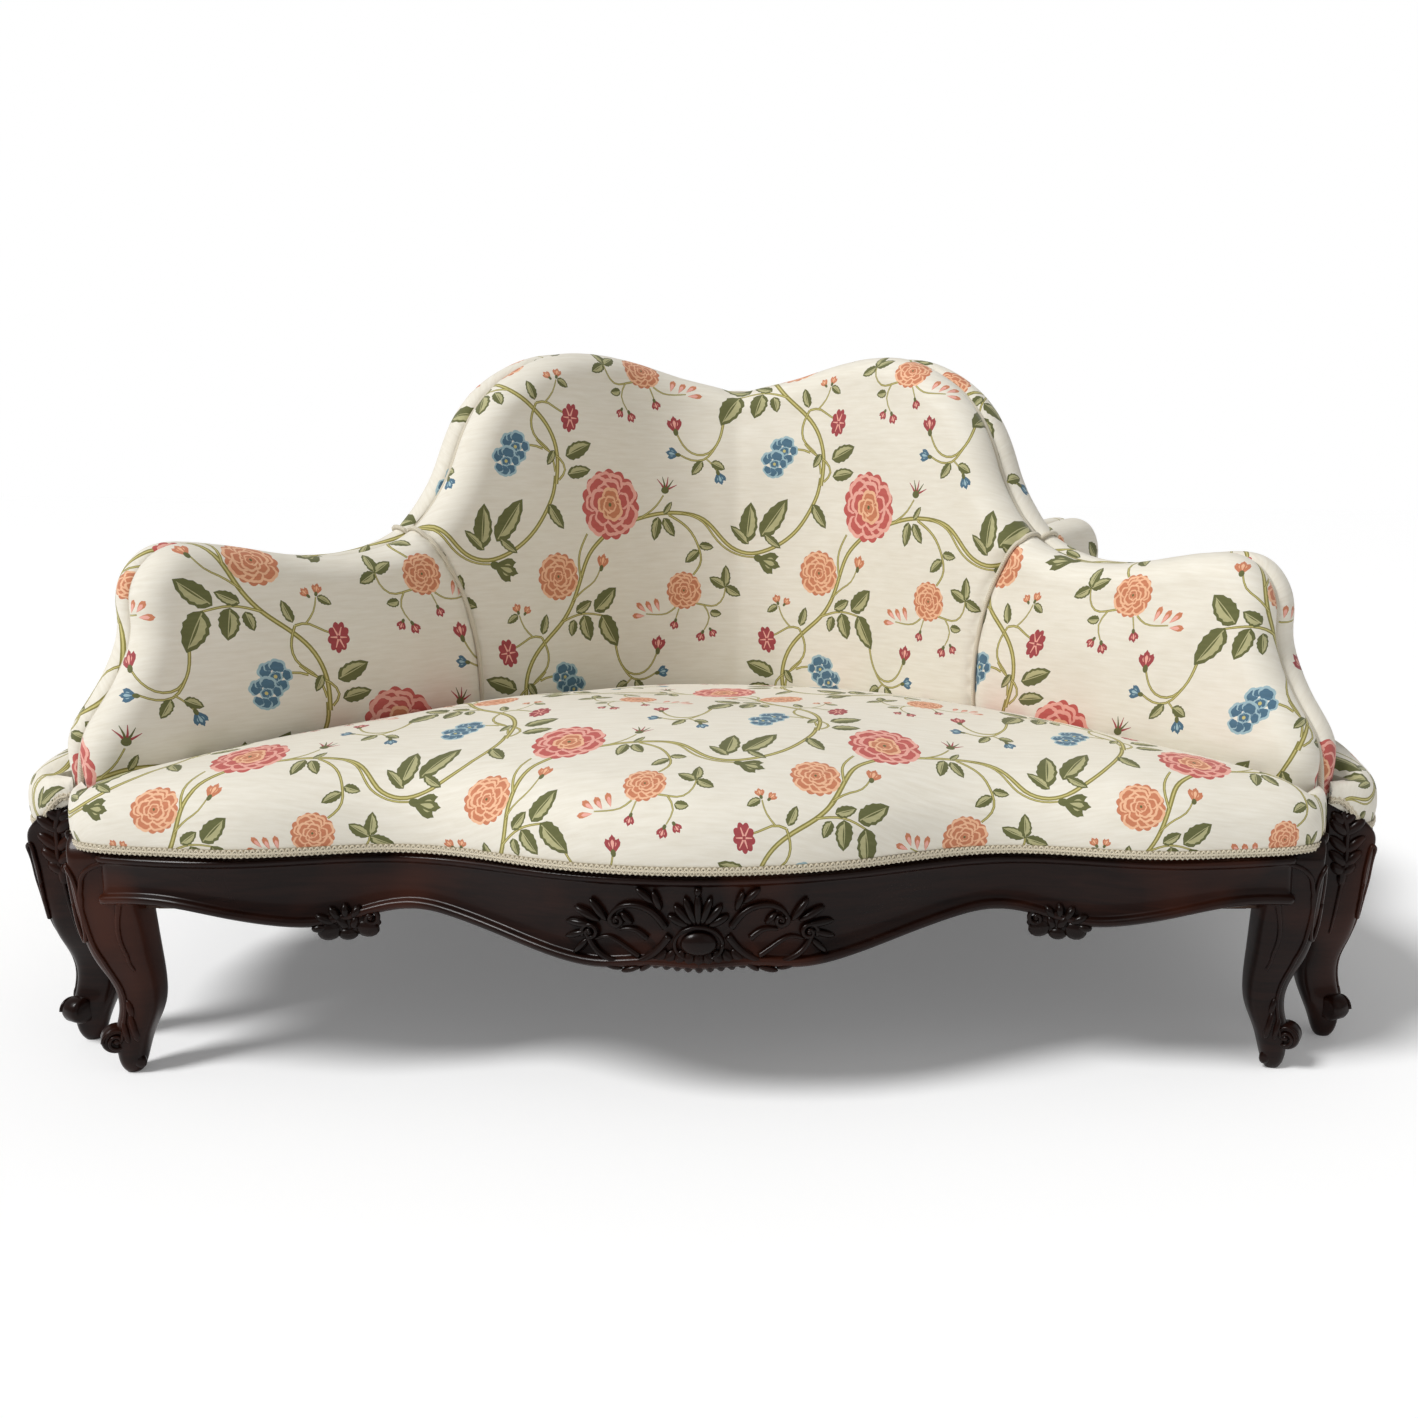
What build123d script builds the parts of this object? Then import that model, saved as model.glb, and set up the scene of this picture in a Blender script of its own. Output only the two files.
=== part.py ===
"""Four-section Victorian borne: four cabriole corner sofas coupled back to back round one centre.

Origin at the floor on the centre axis, +Z up, millimetres. The front section faces -Y, and the
right, rear and left sections are the same section turned by quarter turns. The four walls between
the sections run along the diagonals. A place on a wall is given by s, the distance out from the
centre axis, and t, the distance from the wall's mid-plane into the section.
"""

import os
from math import sqrt

from build123d import *

os.makedirs("parts", exist_ok=True)

# ---------------------------------------------------------------- driving dimensions
sections = {"front": 0, "right": 90, "rear": 180, "left": 270}  # name: turn about Z
fit_gap = 0.3  # clearance between pieces that meet without a joint

# seat front, seen from above: the corners' place, and how far the front swings out from them
corner_reach, corner_spread = 882, 147  # the corner's x is the spread less than its reach
bow_swing = 96
shoulder_x, shoulder_swing = 190, 59
hollow_inset, hollow_swing = 355, -6  # in from the corner
swell_inset, swell_swing = 170, 23

# show rail of polished mahogany, with a shaped lower edge
rail_top = 300
rail_thickness = 30
apron_bow_z = 184  # lower edge at the centre
apron_shoulder_x, apron_shoulder_z = 180, 191
apron_arch_inset, apron_arch_z = 377, 227  # in from the corner
apron_drop_inset, apron_drop_z = 270, 207
apron_rise_inset, apron_rise_z = 95, 235

# cabriole front legs: a square block at the rail, an S-curve and a scrolled toe
block_side = 72
block_outset, block_setback = 3, 40  # the block's centre, from the front's corner
leg_stations = (  # z, the centre's place from the block's, width, depth, corner radius
    (rail_top, 0, 0, block_side, block_side, 6),
    (262, 1, 3, 74, 72, 10),
    (236, 1, 4, 74, 70, 14),
    (200, -5, 8, 77, 66, 16),
    (150, -14, 14, 69, 64, 18),
    (110, -25, 18, 52, 56, 18),
    (80, -24, 16, 46, 54, 16),
    (50, -11, 9, 42, 50, 14),
    (20, -3, 4, 35, 38, 8),
    (0, -2, 4, 32, 34, 6),
)
toe_outset, toe_forward, toe_z, toe_radius, toe_length = 9, 4, 46, 14, 32
toe_turn = 28  # the scroll points this far forward of +X

# centre post, straight beech, with its foot on the floor
post_side = 60
wall_gap = 4  # half the gap between two sections' outside covers
post_top = 862

# beech seat frame
side_rail_depth = 45
seat_rail_height = 85
inner_rail_thickness = 32
tenon_length, tenon_thickness, tenon_height = 22, 12, 50
show_tenon_height = 40
mortise_slack = 0.1  # each way round a tenon

# wall frames: shaped beech panels that stand on the side rails
frame_setback = 8  # from the wall's mid-plane to the frame
frame_thickness = 22
frame_inset = 16  # the padding over the frame's edges
frame_member = 58
stump_s, stump_width = 596, 44  # the upright behind the seam of back and arm
back_window_end, window_corner = 500, 20

# padding of the walls
pad_face = 62  # from the wall's mid-plane to the face of the padding
pad_lap = 8  # the corner's padding runs this far into the wings'
corner_radius_low, corner_radius_high = 355, 230  # of the hollow in the back, seat and hollow top
back_top_z, hollow_top_z = 888, 948  # the centre seam's top, and where the high radius lies
hump_profile = ((110, 893), (200, 909), (270, 927), (345, 935), (410, 929), (460, 911), (505, 884),
                (543, 846), (570, 800), (592, 750), (620, 708))
seam_top_s, seam_top_z = 655, 672
seam_profile = ((635, 638), (610, 596), (594, 550), (584, 500), (580, 440))
seam_low_s = 580
arm_shape = ((0.1, 650), (0.22, 638), (0.37, 640), (0.52, 652), (0.64, 660), (0.745, 655))  # share, z
end_shape = ((90, 628), (77, 592), (76, 556), (62, 513), (38, 472), (12, 434))  # behind the end, z
arm_past_block, arm_end_z = 7, 396

# seat padding
seat_overhang = 10
seat_front_z = 386
crown_z, crown_inset, crown_margin = 411, 90, 25
seat_past_arm, seat_corner_t = 4, 12
bulge_outset, bulge_forward = 38, 15  # the corner bulge, from the block's centre

# trimmings
braid_height, braid_thickness = 11, 2.2
cord_diameter = 7
welt_diameter = 8

# springing
spring_diameter = 72  # pocketed coil springs, each in its closed calico pocket
spring_rows = ((46, (-420, -210, 0, 210, 420)), (246, (-250, 0, 250)), (436, (0,)))  # behind blocks
web_width, web_thickness, web_pitch = 50, 2, 110
dust_cover_thickness = 1
leg_margin = 12  # the webbing and dust cover keep this far from the legs

# packing blocks, screws and coupling bolts
block_width, block_height = 46, 60
screw_diameter, screw_length = 5, 52
bolt_diameter, bolt_head_diameter, bolt_head_height = 10, 18, 7
bolt_places, bolt_inset = (250, 620), 134  # s along each wall, and in from its end
spacer_diameter = 34

# carvings stand on the show rail
carving_relief = 12
cartouche_z, cartouche_width, cartouche_height = 236, 124, 92
wing_x, wing_rise, wing_width, wing_height = 104, 2, 104, 52
shell_drop, shell_width, shell_height = 36, 84, 44
side_carving_inset, side_carving_z = 287, 215  # in from the corner
side_carving_width, side_carving_height = 68, 34

# ---------------------------------------------------------------- derived places
root2 = sqrt(2)
corner_x = corner_reach - corner_spread
hollow_x, swell_x = corner_x - hollow_inset, corner_x - swell_inset
apron_arch_x, apron_drop_x = corner_x - apron_arch_inset, corner_x - apron_drop_inset
apron_rise_x = corner_x - apron_rise_inset
side_carving_x = corner_x - side_carving_inset
bow_reach = corner_reach + bow_swing
shoulder_reach = corner_reach + shoulder_swing
hollow_reach = corner_reach + hollow_swing
swell_reach = corner_reach + swell_swing
block_x, block_y = corner_x + block_outset, block_setback - corner_reach
corner_bulge_x, corner_bulge_y = block_x + bulge_outset, block_y - bulge_forward
toe_x, toe_y = block_x + toe_outset, block_y - toe_forward
arm_end_s = (block_x - block_y) / root2 + arm_past_block
arm_length = arm_end_s - seam_top_s
arm_profile = [(seam_top_s + share * arm_length, z) for share, z in arm_shape]
end_profile = [(arm_end_s - behind, z) for behind, z in end_shape]
seat_corner_s = arm_end_s + seat_past_arm
rail_bottom = rail_top - seat_rail_height
post_far = wall_gap + post_side
frame_face = frame_setback + frame_thickness
side_rail_face = frame_setback + side_rail_depth
block_inner_x = block_x - block_side / 2
block_back_y = block_y + block_side / 2
inner_rail_front = block_back_y - inner_rail_thickness
bolt_stations = (*bolt_places, arm_end_s - bolt_inset)
spring_centres = [(x, block_back_y + behind) for behind, row in spring_rows for x in row]
frame_end_s = arm_end_s - frame_inset
window_sill = rail_top + frame_member
back_window = (post_far + frame_member, back_window_end, back_top_z - frame_inset - frame_member)
arm_window = (stump_s + stump_width / 2, end_profile[0][0] - frame_inset - frame_member,
              min(z for s, z in arm_profile) - frame_inset - frame_member)
block_line = -block_back_y * root2  # s + t along the back faces of the leg blocks
tenon_z = rail_top - seat_rail_height / 2
inner_tenon = (block_inner_x, block_back_y - inner_rail_thickness / 2, tenon_z)
side_tenon = ((frame_end_s - side_rail_face) / root2, block_back_y, tenon_z)
web_z = rail_bottom - web_thickness
wall_side = Plane(origin=(0, 0, 0), x_dir=(1, -1, 0), z_dir=(-1, -1, 0))  # s across, z up, t out
wall_plan = Plane(origin=(0, 0, 0), x_dir=(1, -1, 0), z_dir=(0, 0, 1))  # s across, -t up
wall_end = Plane(origin=(0, 0, 0), x_dir=(1, 1, 0), z_dir=(1, -1, 0))  # -t across, z up, s out


def wall_point(s, t):
    """The plan place of a point s along the right wall and t in front of its mid-plane."""
    return ((s - t) / root2, -(s + t) / root2)


def mirrored(point):
    """The same place on the section's left side."""
    return (-point[0], *point[1:])


def front_points(grow):
    """Points of the serpentine seat front from left to right, grown forward by grow."""
    half = ((shoulder_x, shoulder_reach), (hollow_x, hollow_reach), (swell_x, swell_reach),
            (corner_x, corner_reach))
    right = [(x, -(reach + grow)) for x, reach in half]
    return [mirrored(point) for point in reversed(right)] + [(0, -(bow_reach + grow))] + right


def seat_edge(grow):
    """The seat's visible edge: a corner bulge, the serpentine front and the other bulge."""
    points = front_points(seat_overhang + grow)
    side = wall_point(seat_corner_s, seat_corner_t - grow)
    bulge = (corner_bulge_x + grow, corner_bulge_y - grow / 2)
    ThreePointArc(mirrored(side), mirrored(bulge), points[0])
    Spline(*points)
    ThreePointArc(points[-1], bulge, side)
    return side


def hollow_arc(radius, face):
    """The rounded hollow between two walls whose faces are face from their mid-planes."""
    centre_reach = (radius + face) * root2
    tangent = wall_point(radius + face, face)
    ThreePointArc(mirrored(tangent), (0, radius - centre_reach), tangent)
    return tangent


def top_points(inset):
    """The top line of a wall from the centre seam to the arm's front, lowered by inset."""
    line = [(0, back_top_z), *hump_profile, (seam_top_s, seam_top_z), *arm_profile]
    return [(s, z - inset) for s, z in line]


def end_points(inset):
    """The front line of an arm, from its top down to the seat, drawn back by inset."""
    return [(s - inset, z - inset / 2) for s, z in (*end_profile, (arm_end_s, arm_end_z))]


def wall_outline(inset):
    """The closed side view of a wall above the rail, from the centre axis to the arm's front."""
    top = top_points(inset)
    end = end_points(inset)
    Spline(*top, *end)
    Polyline(end[-1], (end[-1][0], rail_top), (0, rail_top), top[0])


def seam_points():
    """The seam between back and arm, from its top down to the rail."""
    return ((seam_top_s, seam_top_z), *seam_profile, (seam_low_s, rail_top))


def show_tenons(slack):
    """Tongues at both ends of the show rail that keep to its own curve, grown by slack."""
    cheek = (rail_thickness - tenon_thickness) / 2 - slack
    reach = block_inner_x + tenon_length + slack
    with BuildPart() as tongues:
        with BuildSketch(Plane.XY.offset(tenon_z - show_tenon_height / 2 - slack)):
            with BuildLine():
                front = Spline(*front_points(-cheek))
                back = Spline(*front_points(cheek - rail_thickness))
                Line(front @ 0, back @ 0)
                Line(front @ 1, back @ 1)
            make_face()
            Rectangle(2 * reach, 2 * bow_reach + rail_thickness, mode=Mode.INTERSECT)
            Rectangle(2 * (block_inner_x - tenon_length), 2 * bow_reach + rail_thickness, mode=Mode.SUBTRACT)
        extrude(amount=show_tenon_height + 2 * slack)
    return tongues.part


def under_plan():
    """The plan of the webbing and dust cover, clear of the legs and the post."""
    lap = frame_setback + side_rail_depth / 3
    front_y = inner_rail_front + inner_rail_thickness / 4
    side_y = block_back_y + leg_margin
    side = (-side_y - lap * root2, side_y)
    neck = wall_point(post_far + web_thickness, lap)
    nose = wall_point(post_far + web_thickness, post_far + web_thickness)
    inner_x = block_inner_x - leg_margin
    right = [(inner_x, front_y), (inner_x, side_y), side, neck]
    return [nose, *(mirrored(point) for point in reversed(right)), *right]


# ---------------------------------------------------------------- one section: seat frame
with BuildPart() as seat_rail:
    with BuildSketch(Plane.XY.offset(rail_bottom - seat_rail_height)):
        with BuildLine():
            rail_front = Spline(*front_points(0))
            rail_back = Spline(*front_points(-rail_thickness))
            Line(rail_front @ 0, rail_back @ 0)
            Line(rail_front @ 1, rail_back @ 1)
        make_face()
    extrude(amount=rail_top - rail_bottom + seat_rail_height)
    with BuildSketch(Plane.XZ):
        with BuildLine():
            apron_half = ((apron_shoulder_x, apron_shoulder_z), (apron_arch_x, apron_arch_z),
                          (apron_drop_x, apron_drop_z), (apron_rise_x, apron_rise_z),
                          (block_inner_x, apron_rise_z))
            apron_left = [mirrored(point) for point in reversed(apron_half)]
            apron = Spline(*apron_left, (0, apron_bow_z), *apron_half)
            Polyline(apron @ 1, (block_inner_x, rail_top), (-block_inner_x, rail_top), apron @ 0)
        make_face()
    extrude(amount=bow_reach + rail_thickness, mode=Mode.INTERSECT)
    add(show_tenons(0))

with BuildPart() as block_screws:
    for x in (-shoulder_x, 0, shoulder_x):
        with BuildSketch(Plane(origin=(x, block_back_y, tenon_z), z_dir=(0, -1, 0))):
            Circle(screw_diameter / 2)
        extrude(amount=screw_length)

with BuildPart() as inner_rail:
    with Locations((0, inner_tenon[1], tenon_z)):
        Box(block_inner_x * 2, inner_rail_thickness, seat_rail_height)
        Box((block_inner_x + tenon_length) * 2, tenon_thickness, tenon_height)
    add(block_screws.part, mode=Mode.SUBTRACT)

with BuildPart() as side_rail:
    with BuildSketch(Plane.XY.offset(rail_bottom)):
        with BuildLine():
            Polyline(wall_point(post_far, frame_setback), wall_point(frame_end_s, frame_setback),
                     wall_point(frame_end_s, block_line - frame_end_s),
                     wall_point(block_line - side_rail_face, side_rail_face),
                     wall_point(post_far, side_rail_face), close=True)
        make_face()
    extrude(amount=seat_rail_height)
    with BuildSketch(wall_end.offset(post_far)):
        with Locations((-(frame_setback + side_rail_depth / 2), tenon_z)):
            Rectangle(tenon_thickness, tenon_height)
    extrude(amount=-tenon_length)
    with Locations(side_tenon):
        Box(tenon_thickness, tenon_length * 2, tenon_height)
    with BuildSketch(wall_side.offset(frame_setback)):
        with Locations(*[(s, tenon_z) for s in bolt_stations]):
            Circle(bolt_diameter / 2 + fit_gap)
    extrude(amount=side_rail_depth, mode=Mode.SUBTRACT)

side_rail_left = mirror(side_rail.part, about=Plane.YZ)

with BuildPart() as packing_blocks:
    for x, reach in ((-shoulder_x, shoulder_reach), (0, bow_reach), (shoulder_x, shoulder_reach)):
        depth = reach - rail_thickness / 2 + inner_rail_front
        with Locations((x, inner_rail_front - depth / 2, tenon_z)):
            Box(block_width, depth, block_height)
    add(seat_rail.part, mode=Mode.SUBTRACT)
    add(block_screws.part, mode=Mode.SUBTRACT)

with BuildPart() as corner_post:
    with BuildSketch(wall_plan):
        with Locations((wall_gap + post_side / 2, -wall_gap - post_side / 2)):
            Rectangle(post_side, post_side)
    extrude(amount=post_top)
    chamfer(corner_post.edges().filter_by(Axis.Z), 3)
    add(side_rail.part, mode=Mode.SUBTRACT)
    add(side_rail_left, mode=Mode.SUBTRACT)

with BuildPart() as leg_right:
    for z, aside, behind, width, depth, corner in leg_stations:
        with BuildSketch(Plane.XY.offset(z)):
            with Locations((block_x + aside, block_y + behind)):
                RectangleRounded(width, depth, corner)
    loft()
    toe_way = Vector(1, 0, 0).rotate(Axis.Z, -90 - toe_turn)
    with BuildSketch(Plane(origin=(toe_x, toe_y, toe_z), z_dir=toe_way)):
        Circle(toe_radius)
    extrude(amount=toe_length / 2, both=True)
    add(show_tenons(mortise_slack), mode=Mode.SUBTRACT)
    slack = 2 * mortise_slack
    with Locations(inner_tenon):
        Box(tenon_length * 2 + slack, tenon_thickness + slack, tenon_height + slack, mode=Mode.SUBTRACT)
    with Locations(side_tenon):
        Box(tenon_thickness + slack, tenon_length * 2 + slack, tenon_height + slack, mode=Mode.SUBTRACT)

leg_left = mirror(leg_right.part, about=Plane.YZ)

with BuildPart() as rail_carvings:
    with BuildSketch(Plane.XY.offset(apron_bow_z - block_width)):
        with BuildLine():
            relief_front = Spline(*front_points(carving_relief))
            relief_back = Spline(*front_points(0))
            Line(relief_front @ 0, relief_back @ 0)
            Line(relief_front @ 1, relief_back @ 1)
        make_face()
    extrude(amount=rail_top - apron_bow_z + block_width)
    with BuildSketch(Plane.XZ):
        with Locations((0, cartouche_z)):
            Ellipse(cartouche_width / 2, cartouche_height / 2)
        with Locations((-wing_x, cartouche_z + wing_rise), (wing_x, cartouche_z + wing_rise)):
            Ellipse(wing_width / 2, wing_height / 2)
        with Locations((0, cartouche_z - shell_drop)):
            Ellipse(shell_width / 2, shell_height / 2)
        with Locations((-side_carving_x, side_carving_z), (side_carving_x, side_carving_z)):
            Ellipse(side_carving_width / 2, side_carving_height / 2)
    extrude(amount=bow_reach + rail_thickness, mode=Mode.INTERSECT)

# ---------------------------------------------------------------- one section: wall frames
with BuildPart() as wall_frame:
    with BuildSketch(wall_side.offset(frame_setback)):
        with BuildLine():
            wall_outline(frame_inset)
        make_face()
        for start, end, top in (back_window, arm_window):
            middle = ((start + end) / 2, (window_sill + top) / 2)
            with Locations(middle):
                RectangleRounded(end - start, top - window_sill, window_corner, mode=Mode.SUBTRACT)
        with Locations((0, back_top_z)):
            Rectangle(2 * post_far, 2 * back_top_z, mode=Mode.SUBTRACT)
    extrude(amount=frame_thickness)

wall_frame_left = mirror(wall_frame.part, about=Plane.YZ)

# ---------------------------------------------------------------- one section: padding
with BuildPart() as back_wing:
    with BuildSketch(wall_side.offset(wall_gap)):
        with BuildLine():
            wall_outline(0)
        make_face()
        with BuildSketch(mode=Mode.PRIVATE) as beyond_seam:
            with BuildLine():
                seam = Spline(*seam_points())
                Polyline(seam @ 0, (seam_top_s, 2 * back_top_z), (2 * arm_end_s, 2 * back_top_z),
                         (2 * arm_end_s, rail_top), seam @ 1)
            make_face()
        add(beyond_seam.sketch, mode=Mode.SUBTRACT)
        with Locations((0, back_top_z)):
            Rectangle(2 * (post_far + fit_gap), 2 * back_top_z, mode=Mode.SUBTRACT)
    extrude(amount=pad_face - wall_gap)
    add(wall_frame.part, mode=Mode.SUBTRACT)

with BuildPart() as back_pad:
    for z, radius in ((rail_top, corner_radius_low), (hollow_top_z, corner_radius_high)):
        with BuildSketch(Plane.XY.offset(z)):
            with BuildLine():
                tangent = hollow_arc(radius, pad_face - pad_lap)
                behind = wall_point(radius + pad_face, frame_face + pad_lap)
                nook = wall_point(frame_face + pad_lap, frame_face + pad_lap)
                Polyline(tangent, behind, nook, mirrored(behind), mirrored(tangent))
            make_face()
    loft()
    with BuildSketch(Plane.XZ):
        with BuildLine():
            crest = [((s - pad_face) / root2, z - pad_lap / 2) for s, z in hump_profile]
            low_end = (crest[-1][0], rail_top)
            half_crest = [(0, back_top_z - pad_lap / 2), *crest, low_end]
            Polyline(*half_crest, *[mirrored(point) for point in reversed(half_crest)])
        make_face()
    extrude(amount=bow_reach, mode=Mode.INTERSECT)
    with BuildSketch(wall_plan):
        with Locations((wall_gap + post_side / 2, -wall_gap - post_side / 2)):
            Rectangle(post_side + 2 * fit_gap, post_side + 2 * fit_gap)
    extrude(amount=post_top + fit_gap, mode=Mode.SUBTRACT)
    add(back_wing.part)
    mirror(back_wing.part, about=Plane.YZ)
    with BuildSketch(wall_plan.offset(post_top + fit_gap)):
        with Locations((wall_gap + post_side / 2, -wall_gap - post_side / 2)):
            Rectangle(post_side, post_side)
        with Locations(((frame_face + post_far) / 2 + pad_lap, -(frame_face + post_far) / 2 - pad_lap)):
            Rectangle(post_far - frame_face, post_far - frame_face)
    extrude(amount=back_top_z - post_top - pad_lap)

with BuildPart() as arm_pad:
    with BuildSketch(wall_side.offset(wall_gap)):
        with BuildLine():
            wall_outline(0)
        make_face()
        with BuildSketch(mode=Mode.PRIVATE) as before_seam:
            with BuildLine():
                joint = Spline(*[(s + fit_gap, z) for s, z in seam_points()])
                Polyline(joint @ 0, (seam_top_s + fit_gap, 2 * back_top_z), (-arm_end_s, 2 * back_top_z),
                         (-arm_end_s, rail_top), joint @ 1)
            make_face()
        add(before_seam.sketch, mode=Mode.SUBTRACT)
    extrude(amount=pad_face - wall_gap)
    add(wall_frame.part, mode=Mode.SUBTRACT)

arm_pad_left = mirror(arm_pad.part, about=Plane.YZ)

with BuildPart() as seat_pad:
    with BuildSketch(Plane.XY.offset(rail_top)):
        with BuildLine():
            corner = seat_edge(0)
            seat_back = hollow_arc(corner_radius_low, pad_face + fit_gap)
            arm_foot = wall_point(seat_corner_s, pad_face + fit_gap)
            Polyline(corner, arm_foot, seat_back)
            Polyline(mirrored(corner), mirrored(arm_foot), mirrored(seat_back))
        make_face()
    extrude(amount=seat_front_z - rail_top)
    for z, inset in ((seat_front_z, 0), (crown_z, crown_inset)):
        with BuildSketch(Plane.XY.offset(z)):
            with BuildLine():
                margin = crown_margin + inset
                side_line = (pad_face + margin) * root2
                near_y = margin - hollow_reach
                far_y = (corner_radius_low - (corner_radius_low + pad_face) * root2) - margin
                far_x = -far_y - side_line
                Polyline((near_y + side_line, near_y), (-near_y - side_line, near_y), (far_x, far_y),
                         (-far_x, far_y), close=True)
            make_face()
    loft(sections=seat_pad.pending_faces)

# ---------------------------------------------------------------- one section: trimmings
with BuildPart() as gimp_braid:
    with BuildSketch(Plane.XY.offset(rail_top)):
        with BuildLine():
            outer_end = seat_edge(braid_thickness + fit_gap)
            inner_end = seat_edge(fit_gap)
            Line(outer_end, inner_end)
            Line(mirrored(outer_end), mirrored(inner_end))
        make_face()
    extrude(amount=braid_height)

with BuildPart() as seam_cord:
    with BuildSketch(wall_side.offset(pad_face + fit_gap)):
        with BuildLine():
            Spline(*seam_points()[:-1])
        trace(line_width=cord_diameter)
    extrude(amount=cord_diameter / 2)

with BuildPart() as edge_welt:
    with BuildSketch(wall_side.offset(fit_gap - wall_gap)):
        with BuildLine():
            wall_outline(welt_diameter)
        make_face()
        with BuildSketch(mode=Mode.PRIVATE) as within_welt:
            with BuildLine():
                wall_outline(2 * welt_diameter)
            make_face()
        add(within_welt.sketch, mode=Mode.SUBTRACT)
        with Locations((0, back_top_z)):
            Rectangle(4 * wall_gap, 2 * back_top_z, mode=Mode.SUBTRACT)
    extrude(amount=2 * (wall_gap - fit_gap))

# ---------------------------------------------------------------- one section: springing
with BuildPart() as springs:
    with BuildSketch(Plane.XY.offset(rail_bottom)):
        with Locations(*spring_centres):
            Circle(spring_diameter / 2)
    extrude(amount=seat_rail_height)

with BuildPart() as webbing:
    with BuildSketch(Plane.XY.offset(web_z)):
        Polygon(*under_plan(), align=None)
        with BuildSketch(mode=Mode.PRIVATE) as webs:
            count = int(2 * block_inner_x / web_pitch)
            with Locations((0, -bow_reach / 2)):
                with GridLocations(web_pitch, 0, count, 1):
                    Rectangle(web_width, bow_reach)
                with GridLocations(0, web_pitch, 1, int(bow_reach / web_pitch)):
                    Rectangle(2 * bow_reach, web_width)
        add(webs.sketch, mode=Mode.INTERSECT)
    extrude(amount=web_thickness)

with BuildPart() as dust_cover:
    with BuildSketch(Plane.XY.offset(web_z - dust_cover_thickness)):
        Polygon(*under_plan(), align=None)
    extrude(amount=dust_cover_thickness)

# ---------------------------------------------------------------- one wall: coupling bolts
with BuildPart() as wall_bolts:
    for s in bolt_stations:
        with BuildSketch(wall_side.offset(-side_rail_face)):
            with Locations((s, tenon_z)):
                Circle(bolt_diameter / 2)
        extrude(amount=2 * side_rail_face)
        for start in (-side_rail_face - bolt_head_height, side_rail_face):
            with BuildSketch(wall_side.offset(start)):
                with Locations((s, tenon_z)):
                    RegularPolygon(bolt_head_diameter / 2, 6)
            extrude(amount=bolt_head_height)

with BuildPart() as wall_spacers:
    for s in bolt_stations:
        with BuildSketch(wall_side.offset(-frame_setback)):
            with Locations((s, tenon_z)):
                Circle(spacer_diameter / 2)
                Circle(bolt_diameter / 2 + fit_gap, mode=Mode.SUBTRACT)
        extrude(amount=2 * frame_setback)

# ---------------------------------------------------------------- the pieces of each section
section_pieces = {
    "seat_rail": [seat_rail.part],
    "rail_carvings": [rail_carvings.part],
    "leg_right": [leg_right.part],
    "leg_left": [leg_left],
    "side_rail_right": [side_rail.part],
    "side_rail_left": [side_rail_left],
    "wall_frame_right": [wall_frame.part],
    "wall_frame_left": [wall_frame_left],
    "seat_pad": [seat_pad.part],
    "back_pad": [back_pad.part],
    "arm_pad_right": [arm_pad.part],
    "arm_pad_left": [arm_pad_left],
}
# ---------------------------------------------------------------- small pieces, grouped by kind
grouped_pieces = {
    "corner_posts": [corner_post.part],
    "inner_rails": [inner_rail.part],
    "gimp_braids": [gimp_braid.part],
    "seat_springs": [springs.part],
    "seat_webbing": [webbing.part],
    "dust_covers": [dust_cover.part],
    "packing_blocks": [packing_blocks.part],
    "block_screws": [block_screws.part],
    "seam_cords": [seam_cord.part, mirror(seam_cord.part, about=Plane.YZ)],
    "edge_welts": [edge_welt.part],
    "coupling_bolts": [wall_bolts.part],
    "coupling_spacers": [wall_spacers.part],
}


def export_group(shapes, name):
    """Write one node that holds the solids of all the shapes."""
    solids = [solid for shape in shapes for solid in shape.solids()]
    node = solids[0] if len(solids) == 1 else Compound(children=solids)
    node.label = name
    export_step(node, f"parts/{name}.step")


for section, turn in sections.items():
    for piece, shapes in section_pieces.items():
        export_group([shape.rotate(Axis.Z, turn) for shape in shapes], f"{section}_{piece}")

for piece, shapes in grouped_pieces.items():
    turned = [shape.rotate(Axis.Z, turn) for turn in sections.values() for shape in shapes]
    export_group(turned, piece)
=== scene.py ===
"""The looks of a four-section Victorian borne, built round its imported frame.

Four equal cabriole sofas stand back to back. One section is built here, the one that faces -Y,
and stands in its four places by quarter turns. Sizes are in millimetres and meshes in metres.
Cloth is laid out flat, in millimetres of cloth, cut along its woven flowers, and then carried
to its place on the padding, so the flowers are as sharp as the weave makes them.
"""

import math

import bmesh
import bpy
import numpy as np
from mathutils import Matrix, Vector
from mathutils.bvhtree import BVHTree
from mathutils.geometry import delaunay_2d_cdt


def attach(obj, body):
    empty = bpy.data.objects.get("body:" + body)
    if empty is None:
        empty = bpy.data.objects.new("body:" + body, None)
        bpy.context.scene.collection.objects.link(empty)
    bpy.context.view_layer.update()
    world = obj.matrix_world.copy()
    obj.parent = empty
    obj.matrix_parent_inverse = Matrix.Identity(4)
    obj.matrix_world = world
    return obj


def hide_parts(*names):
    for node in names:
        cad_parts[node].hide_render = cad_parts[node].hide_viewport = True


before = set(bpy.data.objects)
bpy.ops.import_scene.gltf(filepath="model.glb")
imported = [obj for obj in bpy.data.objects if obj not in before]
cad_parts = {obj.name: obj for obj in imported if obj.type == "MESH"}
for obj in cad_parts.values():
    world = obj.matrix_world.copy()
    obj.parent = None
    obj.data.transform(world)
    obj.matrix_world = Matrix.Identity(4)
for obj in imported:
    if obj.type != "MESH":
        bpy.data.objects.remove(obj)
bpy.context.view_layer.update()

MM = 0.001
ROOT2 = math.sqrt(2)
SECTIONS = {"front": 0, "right": 90, "rear": 180, "left": 270}  # name: turn about Z, degrees

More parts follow.
